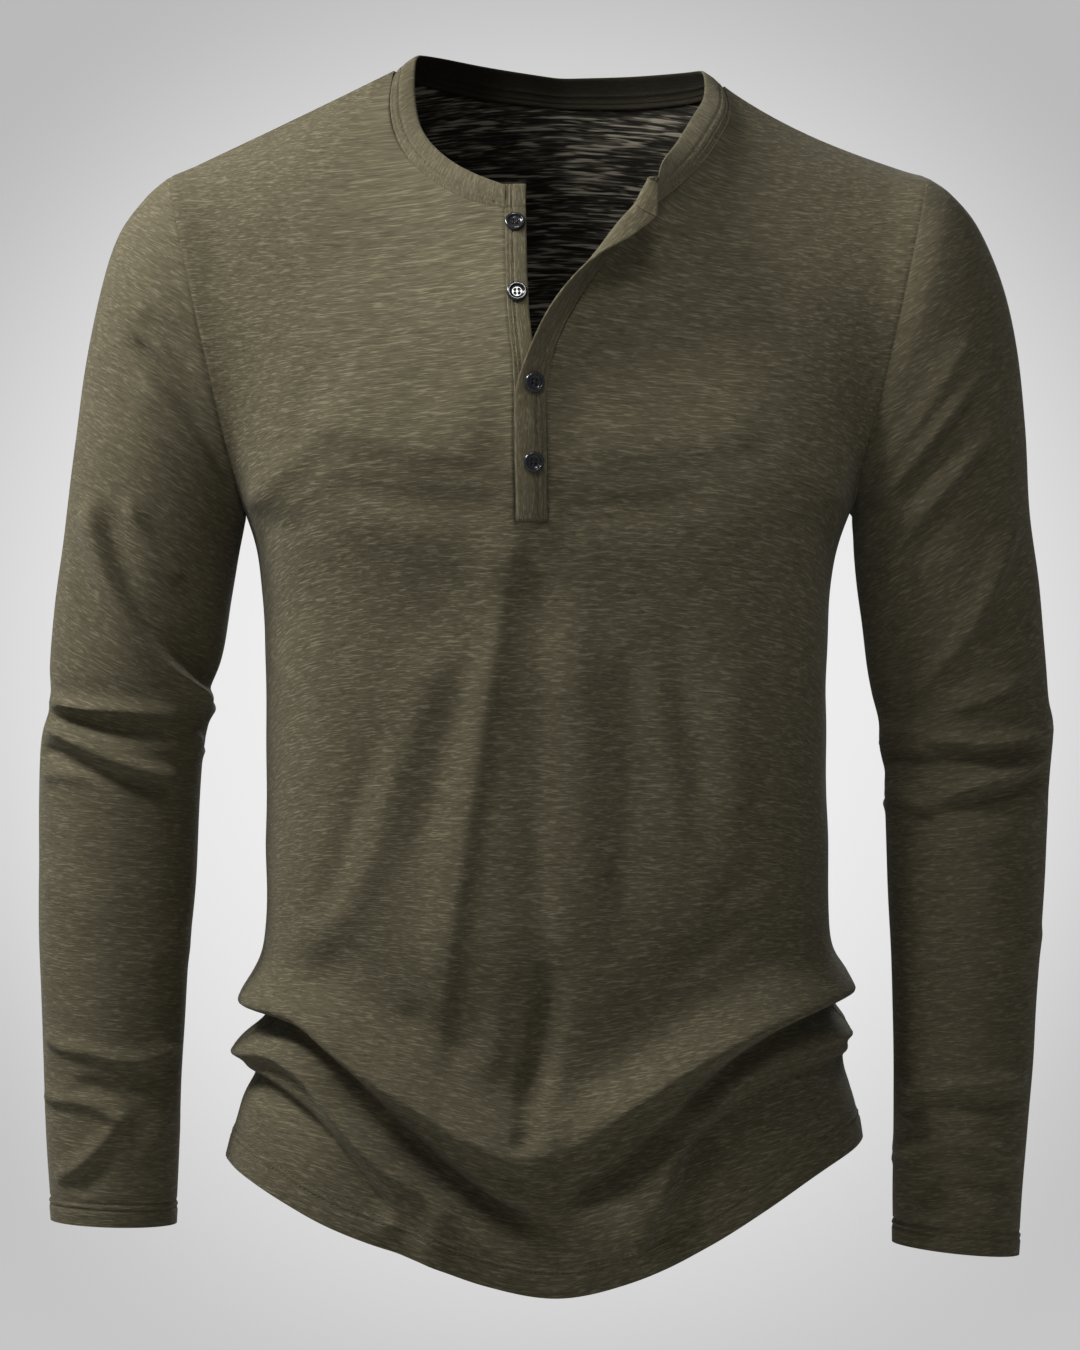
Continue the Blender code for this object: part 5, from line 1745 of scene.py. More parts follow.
# ---------------------------------------------------------------- body panels
@dataclass
class BodyPanel:
    """The front or the back panel, with its creases, hem and seam edges.

    Names that end in rows count rows above the underarm. The swag values bend the courses of
    the jersey where the cloth sags over the hem. Between the calm levels, upwards, the small
    waves lose the calm share of their height.
    """

    panel: Panel
    form: WornForm
    wall: float = 1.2
    neck_fine: int = 40
    shoulder_fine: int = 36
    strip_fine: int = 5
    body_fine: int = 178
    hem_crowding: float = 0.45
    course_tilt: Pair = (19.0, 8.0)
    centre_evening: int = 40
    yoke_fine: int = 58
    hem: TurnedHem = TurnedHem(lines=(13.4, 16.6), turn=(18.2, 15.8), step=0.75,
                               groove=Groove(0.75, 0.9), puckers=Groove(0.24, 5.5),
                               pucker_place=12.0, pucker_lengths=(2.9, 17.0))
    side_groove: Groove = Groove(0.5, 1.2)
    side_ridge: Groove = Groove(0.3, 2.6)
    ridge_place: float = 4.0
    top_groove: Groove = Groove(0.5, 1.4)
    placket_depth: float = 0.9
    arm_ease: Pair = (0.3, 0.6)
    thread_lift: float = 0.12
    arm_rows: tuple[int, int] = (-8, 2)
    join_rows: tuple[int, int] = (-4, 4)
    evened_rows: tuple[int, int] = (-6, 8)
    evened_columns: float = 9.0
    quiet_rows: tuple[int, int] = (-14, 0)
    quiet_width: float = 15.0
    calm_levels: Pair = (-110.0, -70.0)
    calm_share: float = 0.6
    front_share: Pair = (-0.35, 0.25)
    tilt_levels: Pair = (-340.0, -520.0)
    swag_bend: float = 0.42
    swag_middle: Pair = (-8.0, 34.0)
    swag_levels: Pair = (-430.0, -650.0)
    hem_marks: tuple[float, ...] = (0, 0.7, 1.6, 3.2, 5.6, 8.4, 11.0, 12.6, 13.4, 14.2, 15.0,
                                    15.8, 16.6, 17.4, 18.6, 20.4, 23.0)

    @property
    def body_rows(self) -> int:
        """Return how many rows lie below the underarm."""
        return len(self.hem_marks) + self.body_fine

    def _rise(self, grid: Array) -> Array:
        """Return how many rows above the underarm each row of a grid lies."""
        return (np.arange(len(grid)) - self.body_rows)[:, None]

    def shares(self) -> Array:
        """Return the fine columns of a half panel, closer together at its edges.

        Returns:
            The columns, 0 at the middle and 1 at the side seam.
        """
        top = self.form.neck_share
        neck = np.linspace(0, top, self.neck_fine + 1)
        shoulder = np.linspace(top, 1, self.shoulder_fine + 1)[1:]
        close = [0.003, 0.007, 0.985, 0.991, 0.9965]
        return np.unique(np.concatenate([neck, shoulder, close]))

    def rises(self) -> Array:
        """Return the fine rows of the yoke, closer together at its top."""
        even = np.linspace(0, 1, self.yoke_fine + 1)[1:]
        return np.unique(np.concatenate([even, [0.9905, 0.9955]]))

    def _body_rows(self, theta_of: Any) -> tuple[list[Array], list[Array], list[Array]]:
        """Return points, facing and angles row by row from the hem to the underarm.

        Args:
            theta_of: Gives the columns' angles, shares and hem levels at a level.

        Returns:
            Points, facing and angles of each row.
        """
        points, facing, angles = [], [], []
        marks = [("hem", mark) for mark in self.hem_marks]
        even = np.linspace(0, 1, self.body_fine + 1)[1:]
        crowded = even * (1 - self.hem_crowding) + even**2 * self.hem_crowding
        marks += [("rest", step) for step in crowded]
        for kind, amount in marks:
            theta, base, hem = theta_of(self.form.hem_z)
            start = hem + self.hem_marks[-1]
            level = hem + amount if kind == "hem" else start + (base - start) * amount
            theta = theta_of(level)[0]
            point, face = self.form.body(theta, level)
            points.append(point)
            facing.append(face)
            angles.append(theta)
        return points, facing, angles

    def _half(self, side: Side) -> tuple[Array, Array, Array]:
        """Return a half panel's smooth points, facing and angles, columns outwards.

        Args:
            side: The wearer's side.

        Returns:
            Points, facing and angles.
        """
        shares = self.shares()

        def theta_of(level: Any) -> tuple[Array, Array, Array]:
            """Return angles, upper levels and hem levels of the columns."""
            theta = self.form.column_angle(self.panel, side, shares, level)
            return theta, self.form.base_level(shares), self.form.hem_level(self.panel, theta)

        points, facing, angles = self._body_rows(theta_of)
        yoke = self.form.fine_yoke(self.panel, side, shares, self.rises())
        flip = side is (Side.RIGHT if self.panel is Panel.BACK else Side.LEFT)
        grid = np.concatenate([np.array(points), yoke])
        above = facing_of(grid) * (1.0 if flip else -1.0)
        faced = np.concatenate([np.array(facing), above[len(points):]])
        theta = np.concatenate([np.array(angles), np.repeat(angles[-1][None], len(yoke), 0)])
        return grid, faced, theta

    def _strip(self) -> tuple[Array, Array, Array]:
        """Return the columns between the placket's two edges, whole below its foot.

        Returns:
            Points, facing and angles.
        """
        middle = self.form.middle_angle
        share = np.linspace(0, 1, self.strip_fine + 2)[1:-1]
        low, high = (math.radians(middle[side]) for side in (Side.RIGHT, Side.LEFT))
        theta = low + (high - low) * share

        def theta_of(level: Any) -> tuple[Array, Array, Array]:
            """Return angles, upper levels and hem levels of the strip's columns."""
            return (theta, np.full(len(share), self.form.placket_foot_z),
                    self.form.hem_level(self.panel, theta))

        points, facing, angles = self._body_rows(theta_of)
        more = len(self.rises())
        grid = np.concatenate([np.array(points), np.repeat(points[-1][None], more, 0)])
        faced = np.concatenate([np.array(facing), np.repeat(facing[-1][None], more, 0)])
        return grid, faced, np.repeat(theta[None], len(grid), 0)

    def _crease(self, grid: Array, facing: Array, theta: Array) -> Array:
        """Return the panel's points with creases and small waves.

        Args:
            grid: The smooth panel.
            facing: Its facing.
            theta: Its angles round the body.

        Returns:
            The creased points.
        """
        x, z = grid[..., 0], grid[..., 2]
        ahead = ramp(*self.front_share, np.cos(theta))
        lift = ahead * Creases(FRONT_FOLDS).lift(x, z)
        lift += (1 - ahead) * Creases(BACK_FOLDS).lift(x, z)
        calm = ramp(*self.calm_levels, z) * self.calm_share
        lift += Unevenness(seed=11).lift(grid) * (1 - calm)
        over = walked(grid, 1)
        inward = np.minimum(over, over[:, -1:] - over)
        above = ramp(*self.quiet_rows, self._rise(grid))
        quiet = 1 - (1 - ramp(0, self.quiet_width, inward)) * above
        quiet[-1] = 0.0
        return grid + facing * (lift * quiet)[..., None]

    def _evened(self, grid: Array, middle: int) -> Array:
        """Return the back panel with the join of its two halves smoothed above the underarm.

        Args:
            grid: The panel's points.
            middle: The column where the halves meet.

        Returns:
            The smoothed points.
        """
        columns = np.arange(grid.shape[1]) - middle
        pull = ramp(*self.evened_rows, self._rise(grid)) * bell(columns, self.evened_columns) / 2
        even = grid.copy()
        for _ in range(self.centre_evening):
            between = (even[:, :-2] + even[:, 2:]) / 2
            even[:, 1:-1] += (between - even[:, 1:-1]) * pull[:, 1:-1, None]
        return even

    def cloth(self) -> Cloth:
        """Return the whole panel, columns from the wearer's right to the left in front.

        Returns:
            The panel.
        """
        first, second = ((Side.RIGHT, Side.LEFT) if self.panel is Panel.FRONT
                         else (Side.LEFT, Side.RIGHT))
        parts = [tuple(a[:, ::-1] for a in self._half(first))]
        if self.panel is Panel.FRONT:
            parts.append(self._strip())
            parts.append(self._half(second))
        else:
            parts.append(tuple(a[:, 1:] for a in self._half(second)))
        smooth, facing, theta = (np.concatenate([p[k] for p in parts], axis=1) for k in range(3))
        columns_first = parts[0][0].shape[1]
        if self.panel is Panel.BACK:
            smooth = self._evened(smooth, columns_first - 1)
            above = ramp(*self.join_rows, self._rise(smooth))[..., None]
            facing = unit(facing + (self._alike(smooth, facing) - facing) * above)
        creased = self._crease(smooth, facing, theta)
        relief = self._relief(creased)
        cut = None
        last = columns_first + self.strip_fine
        if self.panel is Panel.FRONT:
            cut = np.zeros((relief.shape[0] - 1, relief.shape[1] - 1), bool)
            cut[self.body_rows - 1:, columns_first - 1:last] = True
            relief[self.body_rows - 1:, [columns_first - 1, last]] -= self.placket_depth
        grid = creased + facing * relief[..., None]
        turned = self._alike(grid, facing)
        gap = (slice(self.body_rows, None), slice(columns_first, last))
        turned[gap] = facing[gap]
        return Cloth(self.panel.name.lower() + "_jersey", grid, turned,
                     np.full(grid.shape[:2], self.wall), self._pattern(smooth, creased),
                     cut_away=cut)

    def _alike(self, grid: Array, facing: Array) -> Array:
        """Return the facing of a grid, turned to the side of an earlier one.

        Args:
            grid: Points.
            facing: An earlier facing of these points.

        Returns:
            The new facing.
        """
        anew = facing_of(grid)
        return anew * np.sign(np.sum(anew * facing, -1, keepdims=True))

    def _relief(self, grid: Array) -> Array:
        """Return the sunk seams, the hem's turn and its stitch lines.

        Args:
            grid: The creased panel.

        Returns:
            How far each point stands out.
        """
        from_hem, across = walked(grid, 0), walked(grid, 1)
        inward = np.minimum(across, across[:, -1:] - across)
        by_arm = ramp(*self.arm_rows, self._rise(grid))
        groove_ease, ridge_ease = self.arm_ease
        relief = -self.side_groove.at(inward) * (1 - groove_ease * by_arm)
        relief += self.side_ridge.at(inward - self.ridge_place) * (1 - ridge_ease * by_arm)
        relief -= self.top_groove.at(from_hem[-1] - from_hem)
        return relief + self.hem.relief(from_hem, across)

    def _pattern(self, smooth: Array, creased: Array) -> Array:
        """Return the cloth's own coordinates: along its courses, and across them.

        Args:
            smooth: The panel before its creases.
            creased: The panel with its creases.

        Returns:
            The two coordinates of each point, in metres.
        """
        along_course = walked(creased, 1)
        middle = along_course.shape[1] // 2
        x, y, z = smooth[..., 0], smooth[..., 1], smooth[..., 2]
        high, low = self.course_tilt
        tilt = np.radians(high + (low - high) * ramp(*self.tilt_levels, z))
        centre, rounding = self.swag_middle
        swag = self.swag_bend * np.hypot(x - centre, rounding) * ramp(*self.swag_levels, z)
        level = z * np.cos(tilt) - self.panel.value * y * np.sin(tilt)
        return np.stack([along_course - along_course[:, middle:middle + 1], level - swag], -1) * MM

    def make(self, wardrobe: Wardrobe, stitches: StitchRow) -> Object:
        """Make the panel and add its hem's stitch lines.

        Args:
            wardrobe: The finishes.
            stitches: The rows that take the hem's lines.

        Returns:
            The panel.
        """
        cloth = self.cloth()
        # the inner face carries the painted shade of the shirt's inside
        piece = cloth.dressed(wardrobe.jersey, wardrobe.reverse, self.panel.name.lower())
        for line in self.hem.lines:
            row = self.hem_marks.index(line)
            columns = np.arange(3, cloth.outer.shape[1] - 3)
            stitches.lines.append(cloth.path(row, columns, self.thread_lift))
        return piece


# ---------------------------------------------------------------- sleeves
@dataclass
class Sleeve:
    """A set-in sleeve from the armhole to the open cuff.

    Marks are distances from the cuff's edge. Behind the arm the creases are shallower, by
    back_share, and lie lower, by back_drop.
    """

    side: Side
    form: WornForm
    wall: float = 1.2
    rings: int = 318
    columns: int = 136
    cuff_marks: tuple[float, ...] = (0, 0.7, 1.6, 3.0, 5.0, 7.4, 8.6, 9.4, 10.2, 11.0, 12.0,
                                     12.8, 13.6, 15.0, 17.0)
    cuff: TurnedHem = TurnedHem(lines=(9.4, 12.8), turn=(13.6, 11.8), step=0.65,
                                groove=Groove(0.85, 0.8), puckers=Groove(0.16, 4.5),
                                pucker_place=9.0, pucker_lengths=(2.7, 13.0))
    spine_steps: int = 800
    armhole_groove: Groove = Groove(0.36, 1.2)
    armhole_ridge: Groove = Groove(0.15, 2.6)
    ridge_place: float = 4.0
    thread_lift: float = 0.12
    front_turn: float = 0.3
    crease_fade: Pair = (2.0, 26.0)
    back_share: float = 0.8
    back_drop: float = 7.0
    tuck: float = 2.2
    tuck_drop: float = 1.5
    join_length: float = 42.0
    crease_depth: Mapping[Side, float] = field(
        default_factory=lambda: {Side.RIGHT: 1.35, Side.LEFT: 1.7})
    crease_sharp: float = 0.7
    upper_arm_x: float = 250.0
    course_slope: Pair = (31.0, 5.0)
    elbow: Pair = (-300.0, -450.0)

    def _smooth(self) -> Array:
        """Return the uncreased rings, from the armhole to the cuff.

        Returns:
            The rings' points.
        """
        table = SLEEVE_RIGHT if self.side is Side.RIGHT else SLEEVE_LEFT
        top, low = self.form.armhole(self.side, 0.0), self.form.armhole(self.side, math.pi)
        start = (top[0], top[2], low[0], low[2], self.form.armhole_half_depth,
                 (top[1] + low[1]) / 2)
        rows = np.array([start] + [tuple(ring) for ring in table])
        levels = np.arange(len(rows), dtype=float)
        dense = np.linspace(0, levels[-1], self.spine_steps)
        spine = hermite_through(levels, rows, dense)[:, :4]
        spine = (spine[:, :2] + spine[:, 2:]) / 2
        length = walked(spine[:, None], 0)[:, 0]
        ends = length[-1] - np.array(self.cuff_marks)[::-1]
        even = np.linspace(0, ends[0], self.rings + 1)[:-1]
        wanted = np.unique(np.concatenate([even, [0.8, 1.6], ends]))
        rings = hermite_through(levels, rows, np.interp(wanted, length, dense))
        phi = np.linspace(0, 2 * np.pi, self.columns, endpoint=False)
        half = (1 + np.cos(phi)) / 2
        grid = np.zeros((len(wanted), len(phi), 3))
        grid[..., 0] = rings[:, 2:3] + (rings[:, 0:1] - rings[:, 2:3]) * half
        grid[..., 2] = rings[:, 3:4] + (rings[:, 1:2] - rings[:, 3:4]) * half
        grid[..., 1] = rings[:, 5:6] - rings[:, 4:5] * np.sin(phi)
        join = self.form.armhole(self.side, phi) - grid[0]
        near = ramp(self.join_length, 0.0, walked(grid, 0).mean(axis=1))
        grid += join[None] * near[:, None, None]
        middle = grid[0].mean(axis=0)
        tucked = grid[0] + unit(middle - grid[0]) * self.tuck_drop
        tucked[:, 0] -= self.side.value * self.tuck
        return np.concatenate([tucked[None], grid])

    def _pattern(self, grid: Array) -> Array:
        """Return the cloth's own coordinates: along its courses, and across them.

        Args:
            grid: Points of the sleeve.

        Returns:
            The two coordinates of each point, in millimetres.
        """
        x, z = grid[..., 0] * self.side.value, grid[..., 2]
        bent = ramp(*self.elbow, z)[..., None]
        parts = []
        for slope in self.course_slope:
            turn = math.radians(slope)
            level = z - sum(self.elbow) / 2
            reach = x - self.upper_arm_x
            parts.append(np.stack([reach * math.cos(turn) + level * math.sin(turn),
                                   level * math.cos(turn) - reach * math.sin(turn)], -1))
        return parts[0] * (1 - bent) + parts[1] * bent

    def _outward(self, grid: Array) -> Array:
        """Return the way each point faces, away from the sleeve's middle.

        Args:
            grid: Points of the sleeve.

        Returns:
            A direction for each point.
        """
        facing = facing_of(grid, closed=True)
        middle = grid.mean(axis=1, keepdims=True)
        return facing * np.sign(np.sum(facing * (grid - middle), -1, keepdims=True) + 1e-9)

    def cloth(self) -> Cloth:
        """Return the sleeve with its creases, armhole edge and cuff.

        Returns:
            The sleeve.
        """
        grid = self._smooth()
        facing = self._outward(grid)
        grid = self._creased(grid, facing)
        grid = grid + facing * self._relief(grid)[..., None]
        pattern = self._pattern(np.concatenate([grid, grid[:, :1]], axis=1)) * MM
        return Cloth(f"sleeve_{self.side.name.lower()}_jersey", grid, self._outward(grid),
                     np.full(grid.shape[:2], self.wall), pattern, closed=True)

    def _creased(self, grid: Array, facing: Array) -> Array:
        """Return the sleeve with its creases, which fade in below the armhole.

        Args:
            grid: The smooth sleeve.
            facing: Its facing.

        Returns:
            The creased points.
        """
        folds = SLEEVE_RIGHT_FOLDS if self.side is Side.RIGHT else SLEEVE_LEFT_FOLDS
        creases = Creases(folds, self.crease_depth[self.side], self.crease_sharp)
        ahead = ramp(-self.front_turn, self.front_turn, -facing[..., 1])
        x, z = grid[..., 0], grid[..., 2]
        lift = ahead * creases.lift(x, z)
        lift += (1 - ahead) * self.back_share * creases.lift(x, z + self.back_drop)
        lift += Unevenness(seed=23 + self.side.value).lift(grid)
        return grid + facing * (lift * ramp(*self.crease_fade, walked(grid, 0)))[..., None]

    def _relief(self, grid: Array) -> Array:
        """Return the sunk armhole seam, the cuff's turn and its stitch lines.

        Args:
            grid: The creased sleeve.

        Returns:
            How far each point stands out.
        """
        down = walked(grid, 0)
        from_seam = down - down[1].mean()
        around = walked(np.concatenate([grid, grid[:, :1]], axis=1), 1)[:, :-1]
        relief = self.armhole_ridge.at(from_seam - self.ridge_place)
        relief -= self.armhole_groove.at(from_seam)
        return relief + self.cuff.relief(down[-1] - down, around)

    def make(self, wardrobe: Wardrobe, stitches: StitchRow) -> Object:
        """Make the sleeve and add its cuff's stitch lines.

        Args:
            wardrobe: The finishes.
            stitches: The rows that take the cuff's lines.

        Returns:
            The sleeve.
        """
        cloth = self.cloth()
        # the inner face carries the painted shade of the sleeve's inside
        piece = cloth.dressed(wardrobe.sleeve, wardrobe.reverse,
                              f"sleeve_{self.side.name.lower()}")
        rows = cloth.outer.shape[0]
        for line in self.cuff.lines:
            row = rows - 1 - self.cuff_marks.index(line)
            ring = cloth.outer[row] + cloth.facing[row] * self.thread_lift
            stitches.lines.append(np.concatenate([ring, ring[:1]]))
        return piece


# ---------------------------------------------------------------- neckband
@dataclass
class Neckband:
    """The folded band round the neck. Its grooves are measured in shares of its width."""

    form: WornForm
    thickness: float = 2.0
    columns: int = 38
    stitch_shares: tuple[float, ...] = (0.13, 0.36)
    width: float = 17.0
    smooth_passes: int = 5
    bulge: float = 0.9
    seam_groove: Groove = Groove(1.1, 0.05)
    tuck: float = 0.8
    stitch_groove: Groove = Groove(0.5, 0.035)
    fold_from: float = 0.90
    thinnest: float = 0.25
    flattest: float = 0.02
    zigzag_inset: float = 0.04
    thread_lift: float = 0.15
    zigzag_lift: float = 0.10

    def _line(self) -> tuple[Array, Array, Array]:
        """Return seam points, edge points and facing all round the neckline.

        Returns:
            Points of the seam, points of the edge and the facing.
        """
        top = self.form.neck_share
        share = np.linspace(0, top, self.columns + 1)
        seam, edge, facing = [], [], []
        for panel, side, back in ((Panel.FRONT, Side.RIGHT, False), (Panel.BACK, Side.RIGHT, True),
                                  (Panel.BACK, Side.LEFT, False), (Panel.FRONT, Side.LEFT, True)):
            line = share[::-1] if back else share
            keep = slice(None) if (panel, side) == (Panel.FRONT, Side.LEFT) else slice(None, -1)
            seam.append(self.form.top_edge(panel, side, line)[keep])
            rim = [row.edge for row in NECK[panel, side]]
            edge.append(along(rim, line / top)[keep])
            facing.append(self.form.neck_facing(panel, side, line)[keep])
        joined = [np.concatenate(part) for part in (seam, edge, facing)]
        for part in joined:
            for _ in range(self.smooth_passes):
                part[1:-1] += (part[:-2] + part[2:] - 2 * part[1:-1]) * 0.25
        joined[2] = unit(joined[2])
        return joined[0], joined[1], joined[2]

    def levels(self) -> Array:
        """Return the band's rows as shares of its width, closer together at its stitches.

        Returns:
            The rows' shares.
        """
        plain = [-0.10, -0.04, 0.0, 0.03, 0.07, 0.10, 0.16, 0.20, 0.26, 0.32, 0.40, 0.46, 0.54,
                 0.64, 0.76, 0.86, 0.92, 0.96, 0.985, 1.0]
        return np.unique(plain + list(self.stitch_shares))

    def cloth(self) -> Cloth:
        """Return the band: lower edge tucked behind the panels, upper edge a soft fold.

        Returns:
            The band.
        """
        seam, edge, facing = self._line()
        t = self.levels()
        bulge = self.bulge * np.sin(np.pi * np.clip(t, 0, 1)) - self.seam_groove.at(t)
        bulge = bulge - self.tuck * (t < 0)
        for share in self.stitch_shares:
            bulge = bulge - self.stitch_groove.at(t - share)
        bent = np.clip(t - self.fold_from, 0, 1) / (1 - self.fold_from)
        fold = np.sqrt(np.clip(1 - bent**2, self.flattest, 1))
        wall = np.clip(self.thickness * fold, self.thinnest, None)
        middle = seam + (edge - seam) * t[:, None, None]
        lift = bulge[:, None, None] - (self.thickness * (1 - fold) / 2)[:, None, None]
        outer = middle + facing * lift
        u = walked(outer[:1], 1)[0]
        v = t * self.width
        pattern = np.stack(np.broadcast_arrays(u[None, :], v[:, None]), -1) * MM
        return Cloth("neckband_jersey", outer, np.broadcast_to(facing, outer.shape).copy(),
                     np.repeat(wall[:, None], outer.shape[1], 1), pattern)

    def make(self, wardrobe: Wardrobe, stitches: StitchRow) -> Object:
        """Make the band and add its stitch line.

        Args:
            wardrobe: The finishes.
            stitches: The rows that take the band's lines.

        Returns:
            The band.
        """
        cloth = self.cloth()
        # the band's inner face takes the near-black painted shade
        piece = cloth.dressed(wardrobe.rib, wardrobe.tape, "neckband")
        columns = np.arange(2, cloth.outer.shape[1] - 2)
        for share in self.stitch_shares:
            row = float(np.argmin(np.abs(self.levels() - share)))
            stitches.lines.append(cloth.path(row, columns, self.thread_lift))
        low, high = (np.interp(share, self.levels(), np.arange(len(self.levels())))
                     for share in (self.stitch_shares[0] + self.zigzag_inset,
                                   self.stitch_shares[1] - self.zigzag_inset))
        steps = np.arange(2, cloth.outer.shape[1] - 2, 0.5)
        zigzag = np.where(np.arange(len(steps)) % 2 == 0, low, high)
        stitches.lines.append(cloth.path(zigzag, steps, self.zigzag_lift))
        return piece


# ---------------------------------------------------------------- placket
class StripCut(NamedTuple):
    """A placket piece's name, the CAD node it stands for, and its flat size in metres."""

    piece: str
    node: str
    flat: Pair


STRIP_CUTS = {
    Side.RIGHT: StripCut("placket_under_jersey", "placket_under", (0.0145, 0.190)),
    Side.LEFT: StripCut("placket_over_jersey", "placket_over", (0.0215, 0.195)),
}
TAB_CUTS = {
    Side.RIGHT: StripCut("neck_tab_under_jersey", "neck_tab_under", (0.0125, 0.018)),
    Side.LEFT: StripCut("neck_tab_over_jersey", "neck_tab_over", (0.022, 0.019)),
}


@dataclass
class Placket:
    """One strip of the placket and the end of the neckband above it."""

    side: Side
    form: WornForm
    thickness: float = 1.7
    rows: int = 84
    columns: int = 22
    tab_rows: int = 15
    stitch_columns: tuple[float, ...] = (0.16, 0.34)
    rounding: float = 1.2
    thinnest: float = 0.3
    flattest: float = 0.03
    stand_off: float = 0.5
    seam_groove: Groove = Groove(0.9, 0.9)
    stitch_groove: Groove = Groove(0.85, 0.8)
    foot_groove: Groove = Groove(1.0, 0.9)
    foot_line: Groove = Groove(0.4, 0.7)
    foot_line_place: float = 3.2
    tab_groove: Groove = Groove(0.45, 0.8)
    tab_crest: Groove = Groove(0.3, 0.8)
    puckers: Groove = Groove(0.12, 0.3)
    pucker_column: float = 0.25
    pucker_lengths: Pair = (2.3, 9.0)
    thread_lift: float = 0.12
    pattern_shift: float = 40.0

    def _curve(self, seam: Array, crest: Array, free: Array) -> Array:
        """Return rows of points from the sewn edge over the crest to the free edge.

        Args:
            seam: Points of the sewn edge.
            crest: Points of the crest.
            free: Points of the free edge.

        Returns:
            A grid of points.
        """
        bend = 2 * crest - (seam + free) / 2
        t = self.across()[None, :, None]
        return (seam[:, None] * (1 - t) ** 2 + bend[:, None] * 2 * t * (1 - t)
                + free[:, None] * t**2)

    def across(self) -> Array:
        """Return the columns' places, closer together at both edges."""
        even = np.linspace(0, 1, self.columns + 1)
        return np.unique(np.concatenate([even, [0.015, 0.03, 0.97, 0.988]]))

    def grid(self, shares: Array) -> tuple[Array, Array]:
        """Return the strip's smooth points and facing at shares of its length.

        Args:
            shares: Places up the strip, 0 to 1.

        Returns:
            Points and their facing.
        """
        lines = [self.form.placket_edge(self.side, shares, key)
                 for key in ("seam", "crest", "free")]
        points = self._curve(*lines)
        return points, facing_of(points) * -self.side.value

    def _finish(self, name: str, points: Array, facing: Array, foot: bool) -> Cloth:
        """Give a strip its rounded edges, stitch grooves and wall.

        Args:
            name: The piece's name.
            points: Smooth points.
            facing: Their facing.
            foot: Whether the strip ends in a boxed foot.

        Returns:
            The strip.
        """
        over = walked(points, 1)
        to_free = over[:, -1:] - over
        up = walked(points, 0)
        from_edge = np.clip(to_free / self.rounding, 0, 1)
        wall = self.thickness * np.sqrt(np.clip(1 - (1 - from_edge) ** 2, self.flattest, 1))
        relief = -(self.thickness - wall) / 2 - self.seam_groove.at(over)
        for place in self.stitch_columns:
            relief = relief - self.stitch_groove.at(over - place * over[:, -1:])
        if foot:
            relief = relief - self.foot_groove.at(up)
            relief = relief - self.foot_line.at(up - self.foot_line_place)
        puckers = ripple(up, *self.pucker_lengths, sway=1.0)
        relief = relief + puckers * self.puckers.at(self.across() - self.pucker_column)
        outer = points + facing * (relief + self.stand_off)[..., None]
        pattern = np.stack([over, up + self.pattern_shift], -1) * MM
        return Cloth(name, outer, facing, np.clip(wall, self.thinnest, None), pattern)

    def strip(self) -> Cloth:
        """Return the strip sewn to one edge of the neck opening.

        Returns:
            The strip.
        """
        even = np.linspace(0, 1, self.rows + 1)
        points, facing = self.grid(np.unique(np.concatenate([even, [0.003, 0.008, 0.018]])))
        return self._finish(STRIP_CUTS[self.side].piece, points, facing, foot=True)

    def tab(self) -> Cloth:
        """Return the end of the neckband above the strip.

        Returns:
            The band's end.
        """
        low = [self.form.placket_edge(self.side, np.ones(1), key)[0]
               for key in ("seam", "crest", "free")]
        high = [np.array(point, dtype=float) for point in TAB_EDGE[self.side]]
        even = np.linspace(0, 1, self.tab_rows + 1)
        share = np.unique(np.concatenate([even, [0.02, 0.97, 0.985]]))[:, None]
        points = self._curve(*(a * (1 - share) + b * share for a, b in zip(low, high)))
        facing = facing_of(points) * -self.side.value
        cloth = self._finish(TAB_CUTS[self.side].piece, points, facing, foot=False)
        up = walked(points, 0)
        groove = -self.tab_groove.at(up) - self.tab_crest.at(up[-1] - up)
        cloth.outer = cloth.outer + facing * groove[..., None]
        return cloth

    def make(self, wardrobe: Wardrobe, stitches: StitchRow) -> list[Object]:
        """Make the strip and the band's end, and add their stitch lines.

        Args:
            wardrobe: The finishes.
            stitches: The rows that take the lines.

        Returns:
            The two pieces.
        """
        strip, tab = self.strip(), self.tab()
        made = []
        for cloth, cut in ((strip, STRIP_CUTS[self.side]), (tab, TAB_CUTS[self.side])):
            piece = cloth.dressed(wardrobe.rib, wardrobe.rib, cut.node)
            made.append(piece)
        rows = np.arange(2, strip.outer.shape[0] - 1)
        for place in self.stitch_columns:
            column = np.interp(place, self.across(), np.arange(len(self.across())))
            stitches.lines.append(strip.path(rows, column, self.thread_lift))
        if self.side is Side.LEFT:
            columns = np.arange(1, len(self.across()) - 1)
            foot = np.interp(self.foot_line_place, walked(strip.outer, 0)[:, 4],
                             np.arange(strip.outer.shape[0]))
            stitches.lines.append(strip.path(foot, columns, self.thread_lift))
        return made


# ---------------------------------------------------------------- buttons
class RimPoint(NamedTuple):
    """A corner of the button's turned outline: share of its radius, and height in it."""

    share: float
    height: float


BUTTON_RIM = (
    RimPoint(0.0, 0.0), RimPoint(0.80, 0.0), RimPoint(0.93, 0.22), RimPoint(0.985, 0.6),
    RimPoint(1.0, 1.1), RimPoint(0.99, 1.7), RimPoint(0.955, 2.2), RimPoint(0.90, 2.48),
    RimPoint(0.86, 2.6), RimPoint(0.74, 2.6), RimPoint(0.70, 2.45), RimPoint(0.665, 2.05),
    RimPoint(0.64, 1.6), RimPoint(0.60, 1.30), RimPoint(0.52, 1.18),
)
BUTTON_PLACES = (
    (Side.RIGHT, 0.944),
    (Side.RIGHT, 0.703),
    (Side.LEFT, 0.404),
    (Side.LEFT, 0.173),
)


